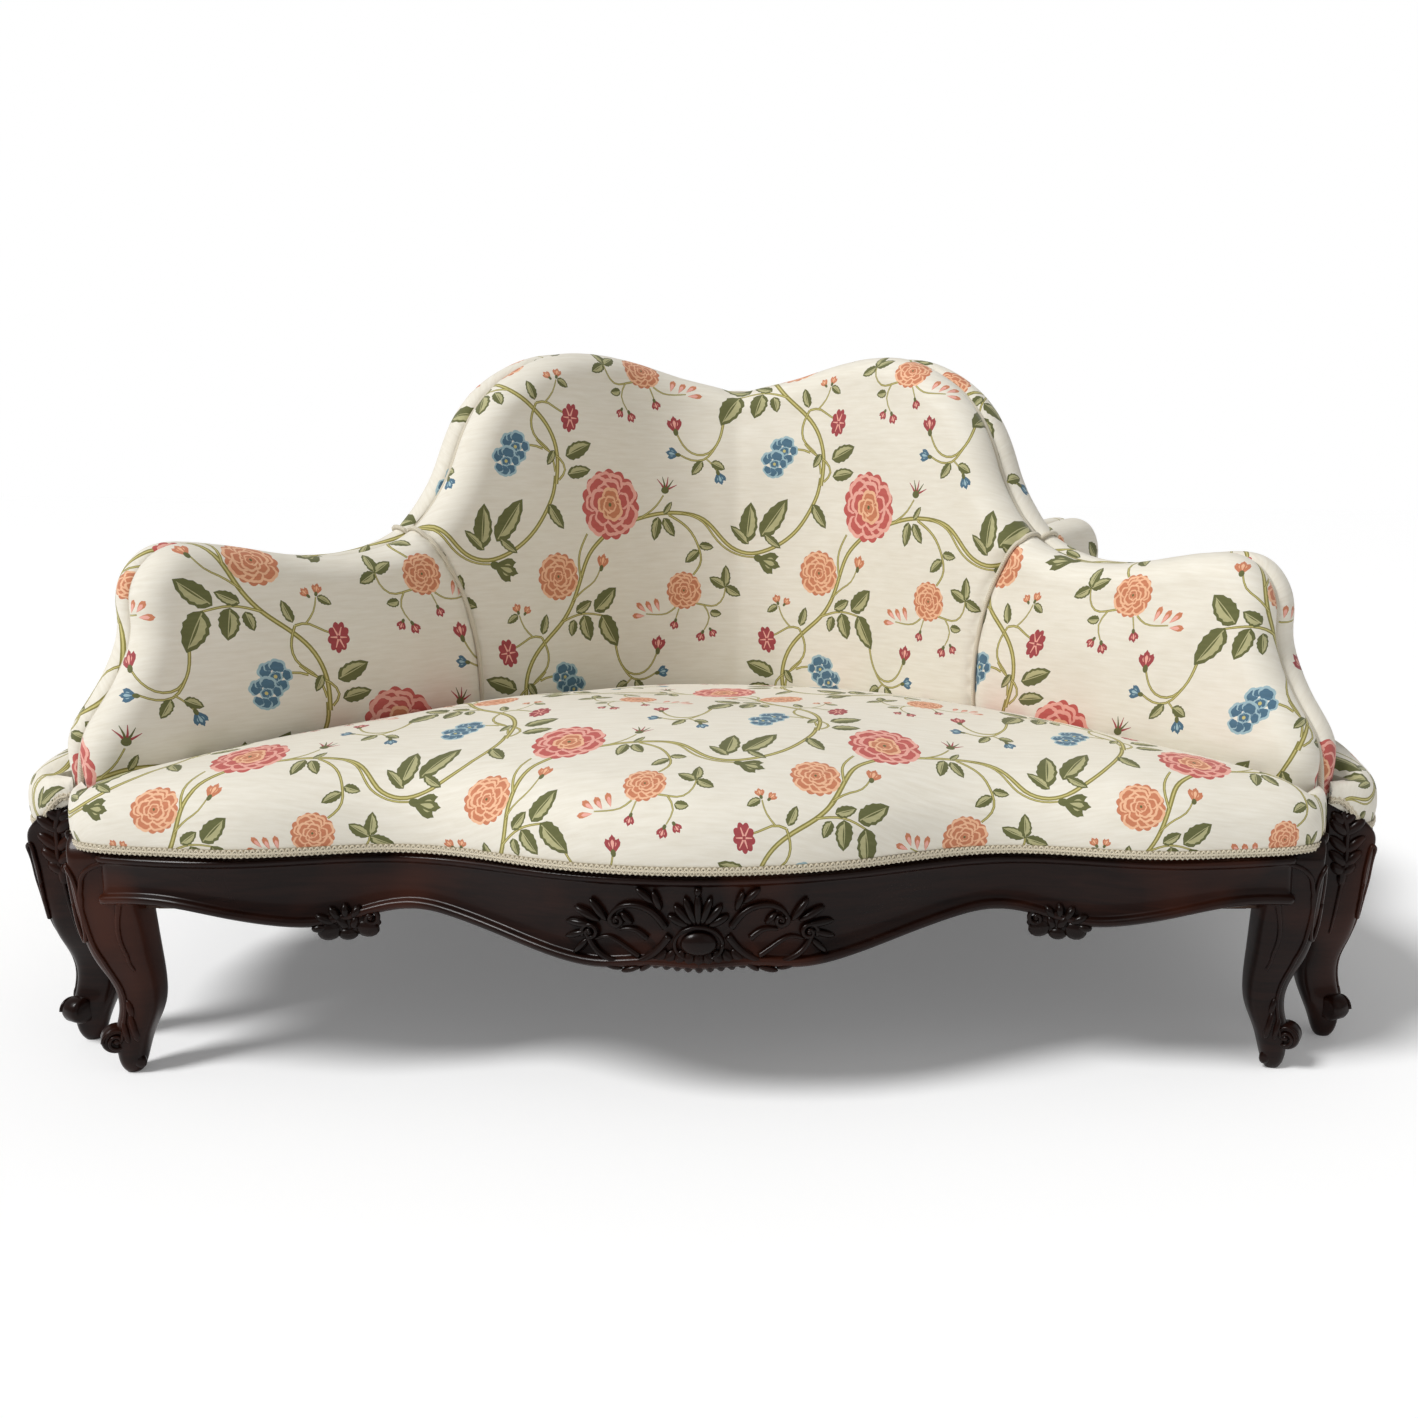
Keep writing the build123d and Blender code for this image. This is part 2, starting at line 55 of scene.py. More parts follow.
# ---------------------------------------------------------------- sizes of the walls, mm
# s runs along a wall from the centre of all four, z up, and a is cloth measured from the hollow's middle
FACE = 62.0  # from a wall's mid-plane to the face of its padding
GROOVE = 4.0  # from the mid-plane to the cover's edge in the groove
HOLLOW_LOW, HOLLOW_HIGH = (300.0, 355.0), (948.0, 230.0)  # height and radius of the hollow back
MEAN_HOLLOW = 300.0  # the radius that the measure a is taken round
WING_START = FACE + MEAN_HOLLOW * (1 - math.pi / 4)  # s less a, on the straight of a wall
# (s, z) of a wall's edge over the back and over the arm, and of the seam between them
TOP_LINE = ((0, 888), (110, 893), (200, 909), (270, 927), (345, 935), (410, 929), (460, 911),
            (505, 884), (543, 846), (570, 800), (592, 750), (620, 708), (655, 672))
ARM_LINE = ((700, 650), (760, 638), (830, 640), (900, 652), (955, 660), (1004, 655), (1034, 628),
            (1047, 592), (1048, 556), (1062, 513), (1086, 472), (1112, 434), (1124, 396), (1124, 300))
SEAM_LINE = ((655, 672), (635, 638), (610, 596), (594, 550), (584, 500), (580, 440), (580, 300))
ROLL_IN, ROLL_DEPTH = 36.0, 40.0  # the front of the roll along a wall's edge
REAR_DROP, REAR_DEPTH = 13.0, 18.0  # and its back, down into the groove
PAD_FOOT = 345.0  # the walls' cloth ends here, behind the seat
FULLNESS, SEAM_DRAW, MIDDLE_DRAW, FOOT_DRAW = 7, 8.5, 3, 10  # the padding's rise, and what draws it in

# ---------------------------------------------------------------- sizes of the seat, mm
RAIL_TOP = 300.0  # the show rail's top edge
SEAT_FOOT = RAIL_TOP + 0.5
SEAT_EDGE = ((789, -806), (781, -842), (762, -872), (735, -888), (660, -904), (565, -915), (470, -901),
             (380, -886), (285, -907), (190, -951), (95, -979), (0, -988))  # the front's plan, right half
SEAT_BACK_S = 1128.0  # the seat's ends, s along the walls
SEAT_PROFILE = ((5, 303), (1, 318), (0, 340), (4, 361), (15, 377), (32, 386), (58, 391))  # inset, z
SEAT_DOME, DOME_RUN, BACK_RUN = 67.0, 385.0, 300.0  # the sprung middle's rise, and how far it takes
END_FALL = 0.09  # the share of its height that the seat loses towards its ends
SADDLE_DIP, BACK_TUCK = 17, 15  # the hollow in the seat's middle, and the tuck along the walls


# ---------------------------------------------------------------- curves and distances
def around(count):
    """So many angles, evenly round a circle."""
    return np.linspace(0, 2 * math.pi, count, endpoint=False)


def curve_through(points, step):
    """Points about a step apart on the natural cubic curve through the given points."""
    given = np.array(points, float)
    run = np.r_[0, np.cumsum(np.linalg.norm(np.diff(given, axis=0), axis=1))]
    gap = np.diff(run)
    count = len(given)
    matrix = np.eye(count)
    right = np.zeros_like(given)
    for i in range(1, count - 1):
        matrix[i, i - 1:i + 2] = gap[i - 1], 2 * (gap[i - 1] + gap[i]), gap[i]
        right[i] = 6 * ((given[i + 1] - given[i]) / gap[i] - (given[i] - given[i - 1]) / gap[i - 1])
    bend = np.linalg.solve(matrix, right)
    at = np.linspace(0, run[-1], max(2, int(run[-1] / step) + 1))
    i = np.clip(np.searchsorted(run, at, side="right") - 1, 0, count - 2)
    wide, after, before = gap[i][:, None], (run[i + 1] - at)[:, None], (at - run[i])[:, None]
    cubic = (bend[i] * after ** 3 + bend[i + 1] * before ** 3) / (6 * wide)
    straight = (given[i] / wide - bend[i] * wide / 6) * after
    return cubic + straight + (given[i + 1] / wide - bend[i + 1] * wide / 6) * before


def side_normals(points, turn):
    """A unit normal at each point of a plane curve, to its left for turn 1, to its right for -1."""
    along = np.gradient(points, axis=0)
    along /= np.linalg.norm(along, axis=1)[:, None]
    return turn * np.stack([-along[:, 1], along[:, 0]], -1)


def at_index(values, index):
    """Values between the rows of a table, at fractional row numbers."""
    low = np.clip(index.astype(int), 0, len(values) - 2)
    share = (index - low)[:, None]
    return values[low] * (1 - share) + values[low + 1] * share


CHUNK = 2000  # places measured at a time, to spare memory
FOOT_WITHIN, FOOT_ROWS, FOOT_HALVINGS = 60, 2, 12  # mm within the curve, rows either side, and steps


def closest(line, places):
    """Where a plane curve comes closest to each place, as a fractional row number, and how close."""
    start, step = line[:-1], np.diff(line, axis=0)
    size = (step ** 2).sum(1)
    found, distance = np.empty(len(places)), np.empty(len(places))
    for first in range(0, len(places), CHUNK):
        part = places[first:first + CHUNK]
        share = np.clip(((part[:, None] - start) * step).sum(2) / size, 0, 1)
        gap = ((part[:, None] - start - share[..., None] * step) ** 2).sum(2)
        best = gap.argmin(1)
        found[first:first + CHUNK] = best + share[np.arange(len(part)), best]
        distance[first:first + CHUNK] = np.sqrt(gap.min(1))
    return found, distance


def nearest(line, normals, places):
    """The foot of each place on a plane curve, the normal there, and the distance beyond the curve.
    Unless a place is far within the curve, its foot is moved along until the curve's own smooth normal
    runs through the place."""
    found = closest(line, places)[0]
    near = ((places - at_index(line, found)) * at_index(normals, found)).sum(1) > -FOOT_WITHIN
    if near.any():
        along, moved = np.gradient(line, axis=0), places[near]
        low, high = (np.clip(found[near] + side, 0, len(line) - 1) for side in (-FOOT_ROWS, FOOT_ROWS))
        for _ in range(FOOT_HALVINGS):
            middle = (low + high) / 2
            ahead = ((moved - at_index(line, middle)) * at_index(along, middle)).sum(1) > 0
            low, high = np.where(ahead, middle, low), np.where(ahead, high, middle)
        found[near] = low
    foot, out = at_index(line, found), at_index(normals, found)
    out /= np.linalg.norm(out, axis=1)[:, None]
    beyond = np.linalg.norm(places - foot, axis=1) * np.where(((places - foot) * out).sum(1) < 0, -1, 1)
    return foot, out, beyond


def distance_to(line, places):
    """The distance of each place from a plane curve."""
    return closest(line, places)[1]


def dip(distance, width):
    """1 on a seam, falling smoothly to 0 at a few widths from it."""
    return np.exp(-(distance / width) ** 2)


def ease(value, low, high):
    """From 0 at low to 1 at high, smoothly."""
    share = np.clip((value - low) / (high - low), 0, 1)
    return share * share * (3 - 2 * share)


# ---------------------------------------------------------------- the walls' cloth
def hollow_radius(z):
    """The radius of the hollow back at a height."""
    return np.interp(z, (HOLLOW_LOW[0], HOLLOW_HIGH[0]), (HOLLOW_LOW[1], HOLLOW_HIGH[1]))


def wall_xy(s, t):
    """The plan place s along the right wall's mid-plane and t in front of it."""
    return np.stack([(s - t) / ROOT2, -(s + t) / ROOT2], -1)


def wall_face_and_back(a, z):
    """Plan places of the padding's face and of its edge in the groove, for a >= 0, and the way out."""
    radius = hollow_radius(z)
    tangent = radius + FACE - WING_START
    share = np.clip(a / tangent, 0, 1)
    turn = share * math.pi / 4
    s = np.maximum(a, tangent) + WING_START
    out = -np.stack([np.sin(turn), np.cos(turn)], -1)
    centre = np.stack([0 * radius, -(radius + FACE) * ROOT2], -1)
    hollow = (a < tangent)[:, None]
    face = np.where(hollow, centre - out * radius[:, None], wall_xy(s, FACE))
    back_s = np.where(a < tangent, GROOVE + (radius + FACE - GROOVE) * share, s)
    return face, wall_xy(back_s, GROOVE), out


def wall_place(a, z, depth):
    """The place in space of a point a along the cloth, z high and depth behind the face."""
    face, back, out = wall_face_and_back(np.abs(a), z)
    inward = back - face
    width = np.linalg.norm(inward, axis=1)
    plan = face + inward * (np.maximum(depth, 0) / width)[:, None] - out * np.minimum(depth, 0)[:, None]
    plan[:, 0] *= np.where(a < 0, -1, 1)
    return np.column_stack([plan, z])


def cloth_along(s, z):
    """The cloth's measure a at s along the wall, for a point of the top line."""
    radius = hollow_radius(z)
    if s >= radius + FACE:
        return s - WING_START
    turn = math.asin(max(s - FACE, 0) / (ROOT2 * radius))
    return turn / (math.pi / 4) * (radius + FACE - WING_START)


def both_sides(points):
    """A right half from the middle outwards, with its left half before it."""
    return [(-x, y) for x, y in reversed(points) if x != 0] + list(points)


def symmetric(line):
    """The line's right part, its left mirror image and its point in the middle."""
    right = line[line[:, 0] > 2]
    middle = line[np.abs(line[:, 0]).argmin()] * (0, 1)
    return np.vstack([right[::-1] * (-1, 1), middle, right])


wall_half = [(cloth_along(s, z), z) for s, z in (*TOP_LINE, *ARM_LINE)]
wall_line = symmetric(curve_through(both_sides(wall_half), 6))
wall_normals = side_normals(wall_line, 1)
seam_half = curve_through([(cloth_along(s, z), z) for s, z in SEAM_LINE], 6)
FRONT_RUN = math.pi / 2 * math.sqrt((ROLL_IN ** 2 + ROLL_DEPTH ** 2) / 2)
REAR_RUN = math.pi / 2 * math.sqrt((REAR_DROP ** 2 + REAR_DEPTH ** 2) / 2)


def flat_run(a, z):
    """The flat of a wall's top between the two rounds of its roll: none but in the corner."""
    face, back, _ = wall_face_and_back(np.abs(a), z)
    return np.maximum(np.linalg.norm(back - face, axis=1) - ROLL_DEPTH - REAR_DEPTH, 0)


def wall_base(places):
    """Places of cloth carried to the walls, before the padding's fullness."""
    foot, out, beyond = nearest(wall_line, wall_normals, places)
    run = beyond + ROLL_IN
    flat = flat_run(foot[:, 0], foot[:, 1])
    front = np.clip(run / FRONT_RUN, 0, 1) * math.pi / 2
    rear = np.clip((run - FRONT_RUN - flat) / REAR_RUN, 0, 1) * math.pi / 2
    inset = ROLL_IN * (1 - np.sin(front)) + REAR_DROP * (1 - np.cos(rear))
    depth = ROLL_DEPTH * (1 - np.cos(front)) + np.clip(run - FRONT_RUN, 0, flat) + REAR_DEPTH * np.sin(rear)
    rolled = (run > 0)[:, None]
    place = np.where(rolled, foot - out * inset[:, None], places)
    return wall_place(place[:, 0], place[:, 1], depth), run


NORMAL_STEP = 1.2  # mm of cloth over which a surface's slope is taken


def surface_normals(carry, places):
    """Unit normals of a carried surface, towards the sitter."""
    here = carry(places)
    along = carry(places + (NORMAL_STEP, 0)) - here
    up = carry(places + (0, NORMAL_STEP)) - here
    normal = np.cross(along, up)
    return normal / np.maximum(np.linalg.norm(normal, axis=1), 1e-9)[:, None]


def wall_fullness(places, run):
    """How far the padding stands out: full in the middle, drawn in at its seams and foot, and uneven."""
    across, up = np.abs(places[:, 0]), places[:, 1]
    seam = distance_to(seam_half, np.column_stack([across, up]))
    full = FULLNESS * ease(-run, -10, 90) * (1 - dip(seam, 60)) - SEAM_DRAW * dip(seam, 9)
    middle = -MIDDLE_DRAW * dip(across, 17) * ease(up, 380, 430)
    tuck = -FOOT_DRAW * ease(-up, -430, -350)
    soft = 1.3 * np.sin(places[:, 0] / 71 + 1.3) * np.sin(up / 57)
    soft = soft + 0.8 * np.sin(places[:, 0] / 33 + up / 41)
    return full + middle + tuck + soft * ease(-run, 0, 50)


def wall_cloth(places):
    """Places of cloth carried to the walls, on their full padding."""
    base, run = wall_base(places)
    normal = surface_normals(lambda at: wall_base(at)[0], places)
    return base + normal * wall_fullness(places, run)[:, None]


# ---------------------------------------------------------------- the seat's cloth
seat_line = curve_through([(-x, y) for x, y in SEAT_EDGE] + list(reversed(SEAT_EDGE))[1:], 6)
seat_normals = side_normals(seat_line, -1)
seat_rise = curve_through(SEAT_PROFILE, 2)
seat_run = np.r_[0, np.cumsum(np.linalg.norm(np.diff(seat_rise, axis=0), axis=1))]
SEAT_HANG = seat_run[-1] - SEAT_PROFILE[-1][0]  # how far the cloth reaches past the seat's outline


def seat_back_line():
    """The seat's outline against the arms and the back, from right to left."""
    radius, face = HOLLOW_LOW[1] - 20, FACE + 0.3  # the hollow at the seat's height, clear of its padding
    turns = np.radians(np.linspace(45, -45, 25))
    arc = np.column_stack([radius * np.sin(turns), radius * np.cos(turns) - (radius + face) * ROOT2])
    end = np.stack([wall_xy(SEAT_BACK_S, 12), wall_xy(SEAT_BACK_S, face)])
    return np.vstack([end, arc, end[::-1] * (-1, 1)])


seat_back = seat_back_line()


def corner_rise(x, y):
    """How far the show wood stands up above the rail's top round the seat's corners."""
    return 40 * ease(np.abs(x) / 3 + y, -610, -552)


def seat_place(places):
    """Places of cloth carried to the seat: down over its front edge, domed over the springs, tucked in
    along the walls."""
    foot, out, beyond = nearest(seat_line, seat_normals, places)
    run = np.clip(SEAT_HANG - beyond, 0, None)
    inset = np.interp(run, seat_run, seat_rise[:, 0])
    height = np.interp(run, seat_run, seat_rise[:, 1])
    hung = (run < seat_run[-1])[:, None]
    plan = np.where(hung, foot - out * inset[:, None], places)
    low = 1 - END_FALL * ease(np.abs(plan[:, 0]), 330, 780)
    rise = corner_rise(foot[:, 0], foot[:, 1])
    top = SEAT_PROFILE[-1][1] - RAIL_TOP
    z = RAIL_TOP + rise + (top * low - rise) * (height - RAIL_TOP) / top
    tuck = distance_to(seat_back, plan)
    front = np.interp(plan[:, 0], seat_line[:, 0], seat_line[:, 1])
    from_front = np.clip(1 - (plan[:, 1] - front - 15) / DOME_RUN, 0, 1)
    from_back = np.clip(1 - (tuck + 40) / BACK_RUN, 0, 1)
    z += SEAT_DOME * (1 - from_front ** 2) * (1 - from_back ** 2)
    z -= SADDLE_DIP * dip(plan[:, 0], 230) * ease(plan[:, 1], -760, -520)
    z -= BACK_TUCK * dip(tuck, 13) * ease(run, 40, 110)
    z += 1.2 * np.sin(plan[:, 0] / 83) * np.sin(plan[:, 1] / 47)
    return np.column_stack([plan, z])


# ---------------------------------------------------------------- the woven pattern, mm of cloth
REPEAT_WIDE, REPEAT_HIGH = 460.0, 700.0
REPEATS_WIDE, REPEATS_HIGH = range(-4, 5), range(-3, 4)  # enough of them for the widest pad
MIRROR_X, MIRROR_Y = 200.0, 350.0  # the second, mirrored spray in each repeat
TALL = 1.03  # the flowers are woven a little taller than wide

(GROUND, ROSE, ROSE_PALE, CORAL, CORAL_PALE, BLUE, BLUE_PALE, LEAF, LEAF_PALE, STEM, STEM_PALE,
 BUD) = range(12)


def blob(x, y, rx, ry, lobes=0, depth=0.0, turn=0.0, count=24):
    """A round or lobed outline."""
    angle = around(count)
    radius = 1 - depth * (1 - np.abs(np.sin(lobes * angle / 2)))
    px, py = rx * radius * np.cos(angle), ry * radius * np.sin(angle)
    c, s = math.cos(turn), math.sin(turn)
    return np.column_stack([x + px * c - py * s, y + px * s + py * c])


def petal(x, y, angle, length, width, point):
    """A petal from its root at x, y; its tip stands out by a share of its length."""
    shape = np.array([(0, 0), (0.35, 0.3), (0.7, 0.5), (0.93, 0.42), (1, 0.2), (1 + point, 0), (1, -0.2),
                      (0.93, -0.42), (0.7, -0.5), (0.35, -0.3)]) * (length, width)
    c, s = math.cos(angle), math.sin(angle)
    return shape @ np.array([(c, s), (-s, c)]) + (x, y)


def strand(points, width, end_width):
    """A strip of even or tapering width along a smooth line."""
    line = curve_through(points, 9)
    widths = np.linspace(width, end_width, len(line))[:, None] / 2
    normals = side_normals(line, 1)
    return np.vstack([line + normals * widths, (line - normals * widths)[::-1]])


def petals(x, y, radius, rings, dark, pale):
    """Rings of rounded petals with pale rims, from the outside in: (count, reach, size) each."""
    shapes, turn = [], 0.4
    for count, reach, size in rings:
        for i in range(count):
            angle = turn + 2 * math.pi * (i + 0.3 * math.sin(5 * i + count)) / count
            way = np.array([math.cos(angle), math.sin(angle)])
            far = radius * reach * (1 + 0.07 * math.sin(2.3 * i + count))
            root = np.array([x, y]) + far * way * (1, TALL)
            wide = radius * size * (1 + 0.2 * math.sin(3.7 * i + count))
            rim = blob(*root, wide * 0.8, wide, 5, 0.14, angle, 20)
            shapes += [(pale, rim), (dark, (rim - root) * 0.79 + root - 0.15 * wide * way)]
        turn += 0.9
    return shapes


def rose(x, y, radius, dark=ROSE, pale=ROSE_PALE):
    """A full double flower: a scalloped edge and four rings of petals round its heart."""
    return ([(dark, blob(x, y, radius, radius * TALL, 15, 0.1, 0.1, 90))]
            + petals(x, y, radius, ((9, 0.69, 0.33), (7, 0.46, 0.31)), dark, pale)
            + petals(x, y, radius, ((5, 0.25, 0.27), (3, 0.1, 0.2)), CORAL, CORAL_PALE)
            + [(LEAF, blob(x, y, radius * 0.05, radius * 0.06))])


def pansy(x, y, radius):
    """One round blue flower: seven petals round four small ones."""
    return (petals(x, y, radius, ((7, 0.62, 0.42), (4, 0.16, 0.24)), BLUE, BLUE_PALE)
            + [(STEM_PALE, blob(x, y, radius * 0.1, radius * 0.1))])


def leaf(x0, y0, x1, y1, width):
    """A toothed leaf from its stalk to its tip, one half pale, with a pale rib."""
    base, tip = np.array([x0, y0], float), np.array([x1, y1], float)
    along = tip - base
    across = np.array([-along[1], along[0]]) / np.linalg.norm(along) * width
    shares = np.array([0, 0.1, 0.22, 0.3, 0.42, 0.5, 0.62, 0.7, 0.82, 0.88, 1])
    edge = np.array([0, 0.3, 0.47, 0.43, 0.53, 0.46, 0.47, 0.37, 0.31, 0.21, 0])
    left = base + shares[:, None] * along + edge[:, None] * across
    right = base + shares[:, None] * along - edge[:, None] * across
    inner = base + (0.12 + 0.76 * shares)[:, None] * along - (edge * 0.72)[:, None] * across
    rib_side = base + (0.88 - 0.76 * shares)[:, None] * along
    rib_side = rib_side - 0.08 * across * np.sin(np.pi * shares)[:, None]
    rib = [base + 0.06 * along, base + 0.5 * along + 0.03 * across, base + 0.9 * along]
    return [(LEAF, np.vstack([left, right[-2:0:-1]])), (LEAF_PALE, np.vstack([inner, rib_side[1:-1]])),
            (LEAF_PALE, strand(rib, 1.6, 0.8))]


PALE = {ROSE: ROSE_PALE, CORAL: CORAL_PALE, BLUE: BLUE_PALE, LEAF: LEAF_PALE, BUD: ROSE_PALE}


def tulip(x, y, angle, size, colour=BUD):
    """A half-open bud of three pointed petals on a green cup."""
    root = np.array([x, y], float)
    way = np.array([math.cos(angle), math.sin(angle)])
    shapes = []
    for lean, reach in ((-0.42, 0.92), (0.42, 0.92), (0, 1.05)):
        outline = petal(*root, angle + lean, size * reach, size * 0.42, 0.12)
        shapes += [(colour, outline), (PALE[colour], (outline - root) * 0.5 + root + way * size * 0.3)]
    shapes.append((LEAF, blob(*(root + way * size * 0.08), size * 0.24, size * 0.17, turn=angle, count=12)))
    return shapes


def thistle(x, y, angle, size):
    """A bud with five thin sepals."""
    shapes = []
    for i, lean in enumerate((-0.9, -0.45, 0, 0.45, 0.9)):
        end = np.array([x, y]) + size * np.array([math.cos(angle + lean), math.sin(angle + lean)])
        halfway = ((x + end[0]) / 2 + 1, (y + end[1]) / 2)
        shapes.append((LEAF if i % 2 else BUD, strand([(x, y), halfway, end], size * 0.2, 0.8)))
    shapes.append((LEAF, blob(x, y, size * 0.3, size * 0.26, count=12)))
    return shapes


def carnation(x, y, size):
    """A small crimson flower with a ragged edge and six pale streaks."""
    shapes = [(BUD, blob(x, y, size * 0.78, size * 1.12, 9, 0.2, 0.3, 54))]
    for i in range(6):
        angle = 1.1 + i * math.pi / 3
        way = np.array([math.cos(angle) * 0.7, math.sin(angle)])
        side = np.array([-way[1], way[0]]) * 0.12
        streak = [(x, y) + size * (0.15 * way), (x, y) + size * (0.5 * way + side),
                  (x, y) + size * 0.82 * way]
        shapes.append((ROSE_PALE, strand(streak, 2.8, 1.2)))
    return shapes


# width, width at the end and line of each stem: the main stem up to the rose, its loop, the vine that
# runs on to the next spray, and the stalks of leaves and buds
STEMS = ((7, 7, (-161, -318), (-164, -268), (-151, -232), (-120, -199), (-94, -176), (-73, -145),
          (-57, -105), (-42, -74), (-16, -50)),
         (4, 4, (-160, -300), (-150, -268), (-128, -247), (-124, -227), (-135, -199)),
         (4, 4, (-166, -312), (-178, -296), (-172, -283), (-148, -268), (-130, -252)),
         (4.5, 3.5, (-60, -112), (-62, -78), (-46, -44)),
         (6.5, 6.5, (46, -24), (88, -15), (130, -15), (161, -24), (184, -46), (207, -69), (237, -79),
          (267, -73), (320, -38), (343, -6), (356, 22), (360, 44)),
         (4, 3, (126, -14), (160, -28), (182, -56), (206, -76), (231, -84), (252, -85)),
         (4.5, 3.5, (104, -17), (135, -38), (153, -69), (156, -94), (143, -114)),
         (4, 3, (-135, -199), (-151, -197), (-169, -206), (-184, -213)),
         (3, 2, (-151, -197), (-165, -181), (-172, -163)),
         (4, 3, (-96, -178), (-57, -168), (-30, -171), (-8, -176)),
         (4.5, 3, (4, -220), (12, -250), (31, -270), (52, -270), (68, -257), (77, -240)),
         (4, 3, (16, -257), (36, -279), (56, -280), (74, -272)),
         (3, 2.4, (34, -276), (23, -286), (15, -297)),
         (4, 3, (-140, -266), (-120, -261), (-98, -268)),
         (3.4, 2.4, (-76, -148), (-52, -129), (-36, -119), (-24, -100)),
         (3.6, 2.6, (58, -20), (81, -5), (96, 14)),
         (3.4, 2.4, (146, -160), (160, -163), (180, -164), (194, -149), (197, -132)),
         (3, 2, (160, -163), (169, -182), (160, -204)),
         (3, 2, (112, -166), (98, -175), (79, -177), (60, -175)),
         (2.4, 2, (118, -168), (112, -184)))
# stalk, tip and width of each leaf
LEAVES = ((-70, -165, -40, -149, 18), (-35, -166, 6, -130, 30), (-74, -176, -80, -202, 17),
          (-56, -170, -44, -212, 27), (-22, -172, 8, -224, 32), (-180, -276, -228, -256, 25),
          (-182, -303, -226, -296, 20), (-133, -195, -124, -164, 15), (232, -62, 240, 4, 30),
          (256, -52, 302, 10, 32), (236, -64, 206, -34, 15), (262, -48, 290, -70, 14),
          (346, 2, 372, -36, 20), (86, -20, 78, -58, 18), (95, -22, 113, -52, 17), (153, -74, 130, -94, 16),
          (154, -66, 178, -70, 14), (96, -16, 110, 4, 10), (197, -134, 198, -98, 16),
          (197, -134, 170, -118, 17), (197, -134, 222, -148, 17), (170, -176, 190, -178, 13),
          (-160, -268, -146, -290, 13), (24, -283, 2, -294, 15), (38, -281, 56, -304, 15),
          (-174, -162, -192, -174, 12))


def spray():
    """One spray of the pattern, with its great rose at 0, 0; what comes later lies on what came before."""
    shapes = []
    for width, end, *points in STEMS:  # olive, with a pale gold core
        shapes += [(STEM, strand(points, width, end)), (STEM_PALE, strand(points, width * 0.36, end * 0.3))]
    for values in LEAVES:
        shapes += leaf(*values)
    shapes += rose(0, 0, 54)
    shapes += rose(-100, -108, 36, CORAL, CORAL_PALE) + rose(127, -139, 30, CORAL, CORAL_PALE)
    shapes += pansy(-95, -264, 25) + pansy(-79, -285, 24)
    shapes += carnation(-192, -219, 20)
    shapes += tulip(79, -238, 1.45, 24) + tulip(-22, -100, 1.3, 22, CORAL)
    shapes += tulip(76, -272, 0.2, 19, BLUE) + tulip(14, -298, -1.9, 19, BLUE)
    shapes += tulip(250, -86, -0.35, 36, LEAF) + thistle(99, 22, 1.3, 22)
    shapes += tulip(-173, -160, 1.9, 14, CORAL) + tulip(-163, -162, 0.9, 13, CORAL)
    shapes += tulip(158, -206, -2.0, 16) + tulip(170, -202, -1.0, 14) + tulip(112, -186, -1.9, 15)
    for x, y, lean in ((84, -172, 1.9), (72, -174, 2.1), (60, -172, 2.4), (58, -178, 3.1)):
        shapes += [(CORAL, petal(x, y, lean, 21, 9, 0.1)), (ROSE_PALE, petal(x, y, lean, 15, 5, 0.1))]
    return shapes


SPRAY = spray()


def pattern(rose_at, low, high, size, lean):
    """All the woven shapes near a box of cloth, with a great rose at a place of it. The cloth
    may lean, by so much to the side for each mm up."""
    shapes = []
    for i in REPEATS_WIDE:
        for j in REPEATS_HIGH:
            for flip, x, y in ((1, 0, 0), (-1, MIRROR_X, MIRROR_Y)):
                start = np.array([x + i * REPEAT_WIDE, y + j * REPEAT_HIGH])
                for colour, outline in SPRAY:
                    moved = (outline * (flip, 1) + start) * size
                    moved[:, 0] += lean * moved[:, 1]
                    moved += rose_at
                    if (moved.max(0) > low).all() and (moved.min(0) < high).all():
                        shapes.append((colour, moved))
    return shapes


def ordered(outline):
    """The outline, counter-clockwise."""
    x, y = outline[:, 0], outline[:, 1]
    area = (x * np.roll(y, -1) - y * np.roll(x, -1)).sum()
    return outline if area > 0 else outline[::-1]


def inside(outline, places):
    """Which places lie inside a closed outline."""
    x, y = places[:, 0][:, None], places[:, 1][:, None]
    x0, y0 = outline[:, 0], outline[:, 1]
    x1, y1 = np.roll(x0, -1), np.roll(y0, -1)
    crosses = (y0 > y) != (y1 > y)
    with np.errstate(divide="ignore", invalid="ignore"):
        at = x0 + (y - y0) * (x1 - x0) / (y1 - y0)
    return (crosses & (x < at)).sum(1) % 2 == 1


def cut_cloth(outline, shapes, grid):
    """Cloth triangles inside the outline, cut along the shapes: places, triangles and colours."""
    outline = ordered(outline)
    places, faces, colours = list(map(tuple, outline)), [list(range(len(outline)))], [GROUND]
    for colour, shape in shapes:
        shape = ordered(shape)
        faces.append(list(range(len(places), len(places) + len(shape))))
        places += map(tuple, shape)
        colours.append(colour)
    places += map(tuple, grid[inside(outline, grid)])
    places = [Vector(p) for p in places]
    found, _, triangles, _, _, owners = delaunay_2d_cdt(places, [], faces, 1, 0.02)
    kept = [(t, max(o)) for t, o in zip(triangles, owners) if 0 in o]
    return np.array(found, float), np.array([t for t, _ in kept]), np.array([colours[o] for _, o in kept])


# ---------------------------------------------------------------- materials
MIX_FACTOR, MIX_A, MIX_B, MIX_OUT = 0, 6, 7, 2  # the sockets of a mix node that mixes colours
BAND = math.pi / 10  # the scale of a wave texture that has one band to the metre


def linear(code):
    """The linear colour of an sRGB hex code."""
    shares = [int(code[i:i + 2], 16) / 255 for i in (1, 3, 5)]
    return [c / 12.92 if c <= 0.04045 else ((c + 0.055) / 1.055) ** 2.4 for c in shares] + [1.0]


